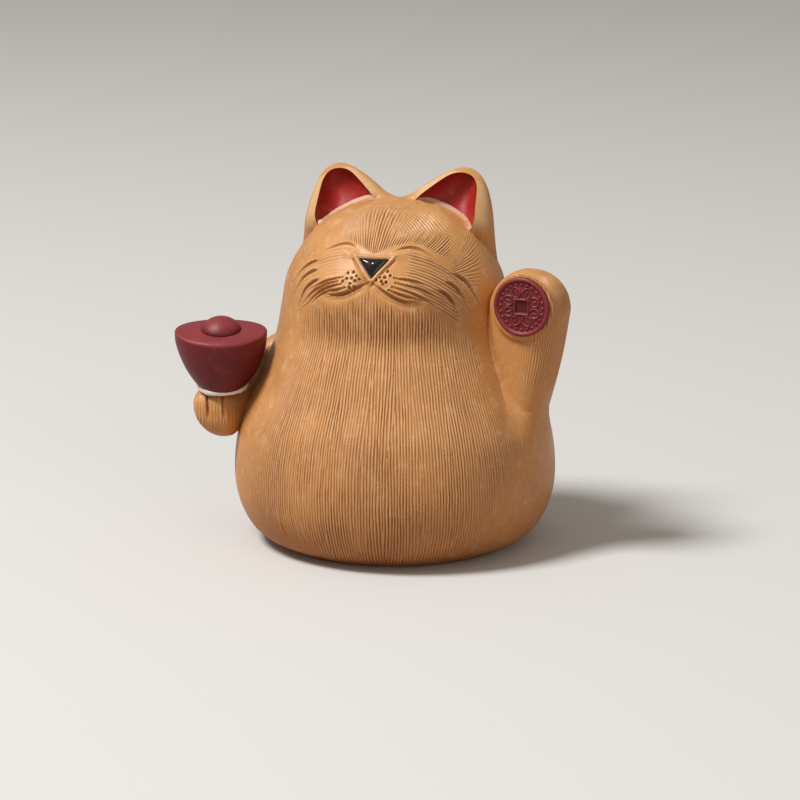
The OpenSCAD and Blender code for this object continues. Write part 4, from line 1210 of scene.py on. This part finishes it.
def makeTail():
    # round rings along a short curl behind the body: out, height, half thickness
    out, w, z = bodyRadius(tail["z"]), tail["width"], tail["z"]
    knots = [
        [out - 0.9 * w, z - 0.11 * w, 0.42 * w],
        [out - 0.17 * w, z, 0.5 * w],
        [out + 0.4 * tail["reach"], z + 0.36 * w, 0.46 * w],
        [out + 0.5 * tail["reach"], z + 0.78 * w, 0.38 * w],
    ]
    tip = capAngles(40)
    rows = through(knots, np.linspace(0, 3, 90))
    run = np.gradient(rows, axis=0)
    lean = np.arctan2(run[:, 1], run[:, 0])
    shrink = np.concatenate([np.ones(len(rows)), np.cos(tip)])
    onward = np.concatenate([np.zeros(len(rows)), tail["tip"] * w * np.sin(tip)])
    rows = np.vstack([rows, np.repeat(rows[-1:], len(tip), 0)])
    lean = np.concatenate([lean, np.full(len(tip), lean[-1])])
    middle = xyz(0, rows[:, 0] + onward * np.cos(lean), rows[:, 1] + onward * np.sin(lean))
    lift = xyz(0, -np.sin(lean), np.cos(lean))
    t = fullTurn(180)
    ring = np.cos(t)[..., None] * [-1, 0, 0] + np.sin(t)[..., None] * lift[:, None]
    rings = middle[:, None] + (shrink * rows[:, 2])[:, None, None] * ring
    level = np.linspace(0, 1, len(lean))[:, None]
    comb = combLines(t * tail["grooves"] / (2 * np.pi) + 0 * level, level * 14, 81) * fade(level, 0.85, 0.97)
    rings = rings - tail["grooveDepth"] * comb[..., None] * skinNormals(rings, True)
    # painted shade in the grooves
    loftPiece("tailCurl", rings, "clay", ["tail"], {"cut": 0.6 * comb})


makeBody()
raisedArm()
ingotArm()
makeIngot()
makeDome()
makeBead()
makeCoin()
makeEars()
makeNose()
makeTail()


# Camera, floor and light

view = {"azimuth": 13.0, "elevation": 13.5, "distance": 650.0, "aim": (1.33, -1.32, 28.39), "across": 160.0}
studio = {   # places and sizes in metres
    "floor": 6.0, "floorRough": 0.9, "floorGloss": 0.1,
    "floorSeen": (206, 203, 199), "floorGiven": (150, 116, 92),   # to the camera, and to the piece
    "world": (1.0, 0.96, 0.9, 1), "worldStrength": 0.34, "lampAim": (0, 0, 0.035),
    # place, size, watts and colour of each lamp
    "lamps": {
        "key": ((-0.56, -0.46, 1.14), 0.4, 20, (0.97, 0.985, 1.0)),
        "fill": ((0.9, -0.9, 0.5), 0.9, 2.5, (1.0, 0.9, 0.8)),
    },
}


def makeCamera():
    a, e = math.radians(view["azimuth"]), math.radians(view["elevation"])
    back = Vector((math.sin(a) * math.cos(e), -math.cos(a) * math.cos(e), math.sin(e)))
    lens = bpy.data.cameras.new("camera")
    lens.angle = 2 * math.atan(view["across"] / 2 / view["distance"])
    camera = bpy.data.objects.new("camera", lens)
    camera.location = (Vector(view["aim"]) + back * view["distance"]) * mm
    camera.rotation_euler = (-back).to_track_quat("-Z", "Y").to_euler()
    lens.clip_start, lens.clip_end = 0.01, 100
    bpy.context.scene.collection.objects.link(camera)
    bpy.context.scene.camera = camera


def makeFloor():
    # a wide pale floor that gives little light back to the piece
    material, tree, shader = newMaterial("paleFloor")
    shader.inputs["Roughness"].default_value = studio["floorRough"]
    shader.inputs["Specular IOR Level"].default_value = studio["floorGloss"]
    path = tree.nodes.new("ShaderNodeLightPath").outputs
    seen = mathNode(tree, "MAXIMUM", path["Is Camera Ray"], path["Is Glossy Ray"])
    seen = mathNode(tree, "MAXIMUM", seen, path["Is Transmission Ray"])
    color = mixNode(tree, seen, shade(*studio["floorGiven"]), shade(*studio["floorSeen"]))
    tree.links.new(color, shader.inputs["Base Color"])
    mesh = bpy.data.meshes.new("floor")
    w = studio["floor"]
    mesh.from_pydata([(-w, -w, 0), (w, -w, 0), (w, w, 0), (-w, w, 0)], [], [(0, 1, 2, 3)])
    mesh.materials.append(material)
    floor = bpy.data.objects.new("floor", mesh)
    bpy.context.scene.collection.objects.link(floor)


def makeLight():
    world = bpy.data.worlds.new("studio")
    bpy.context.scene.world = world
    world.use_nodes = True
    sky = world.node_tree.nodes["Background"].inputs
    sky["Color"].default_value = studio["world"]
    sky["Strength"].default_value = studio["worldStrength"]
    for name, (place, size, watts, color) in studio["lamps"].items():
        lamp = bpy.data.lights.new(name, "AREA")
        lamp.shape = "DISK"
        lamp.size = size
        lamp.energy = watts
        lamp.color = color
        light = bpy.data.objects.new(name, lamp)
        light.location = place
        aim = Vector(studio["lampAim"]) - Vector(place)
        light.rotation_euler = aim.to_track_quat("-Z", "Y").to_euler()
        bpy.context.scene.collection.objects.link(light)


makeCamera()
makeFloor()
makeLight()
bpy.context.scene.view_settings.view_transform = "Standard"
print("camera, floor and light made")
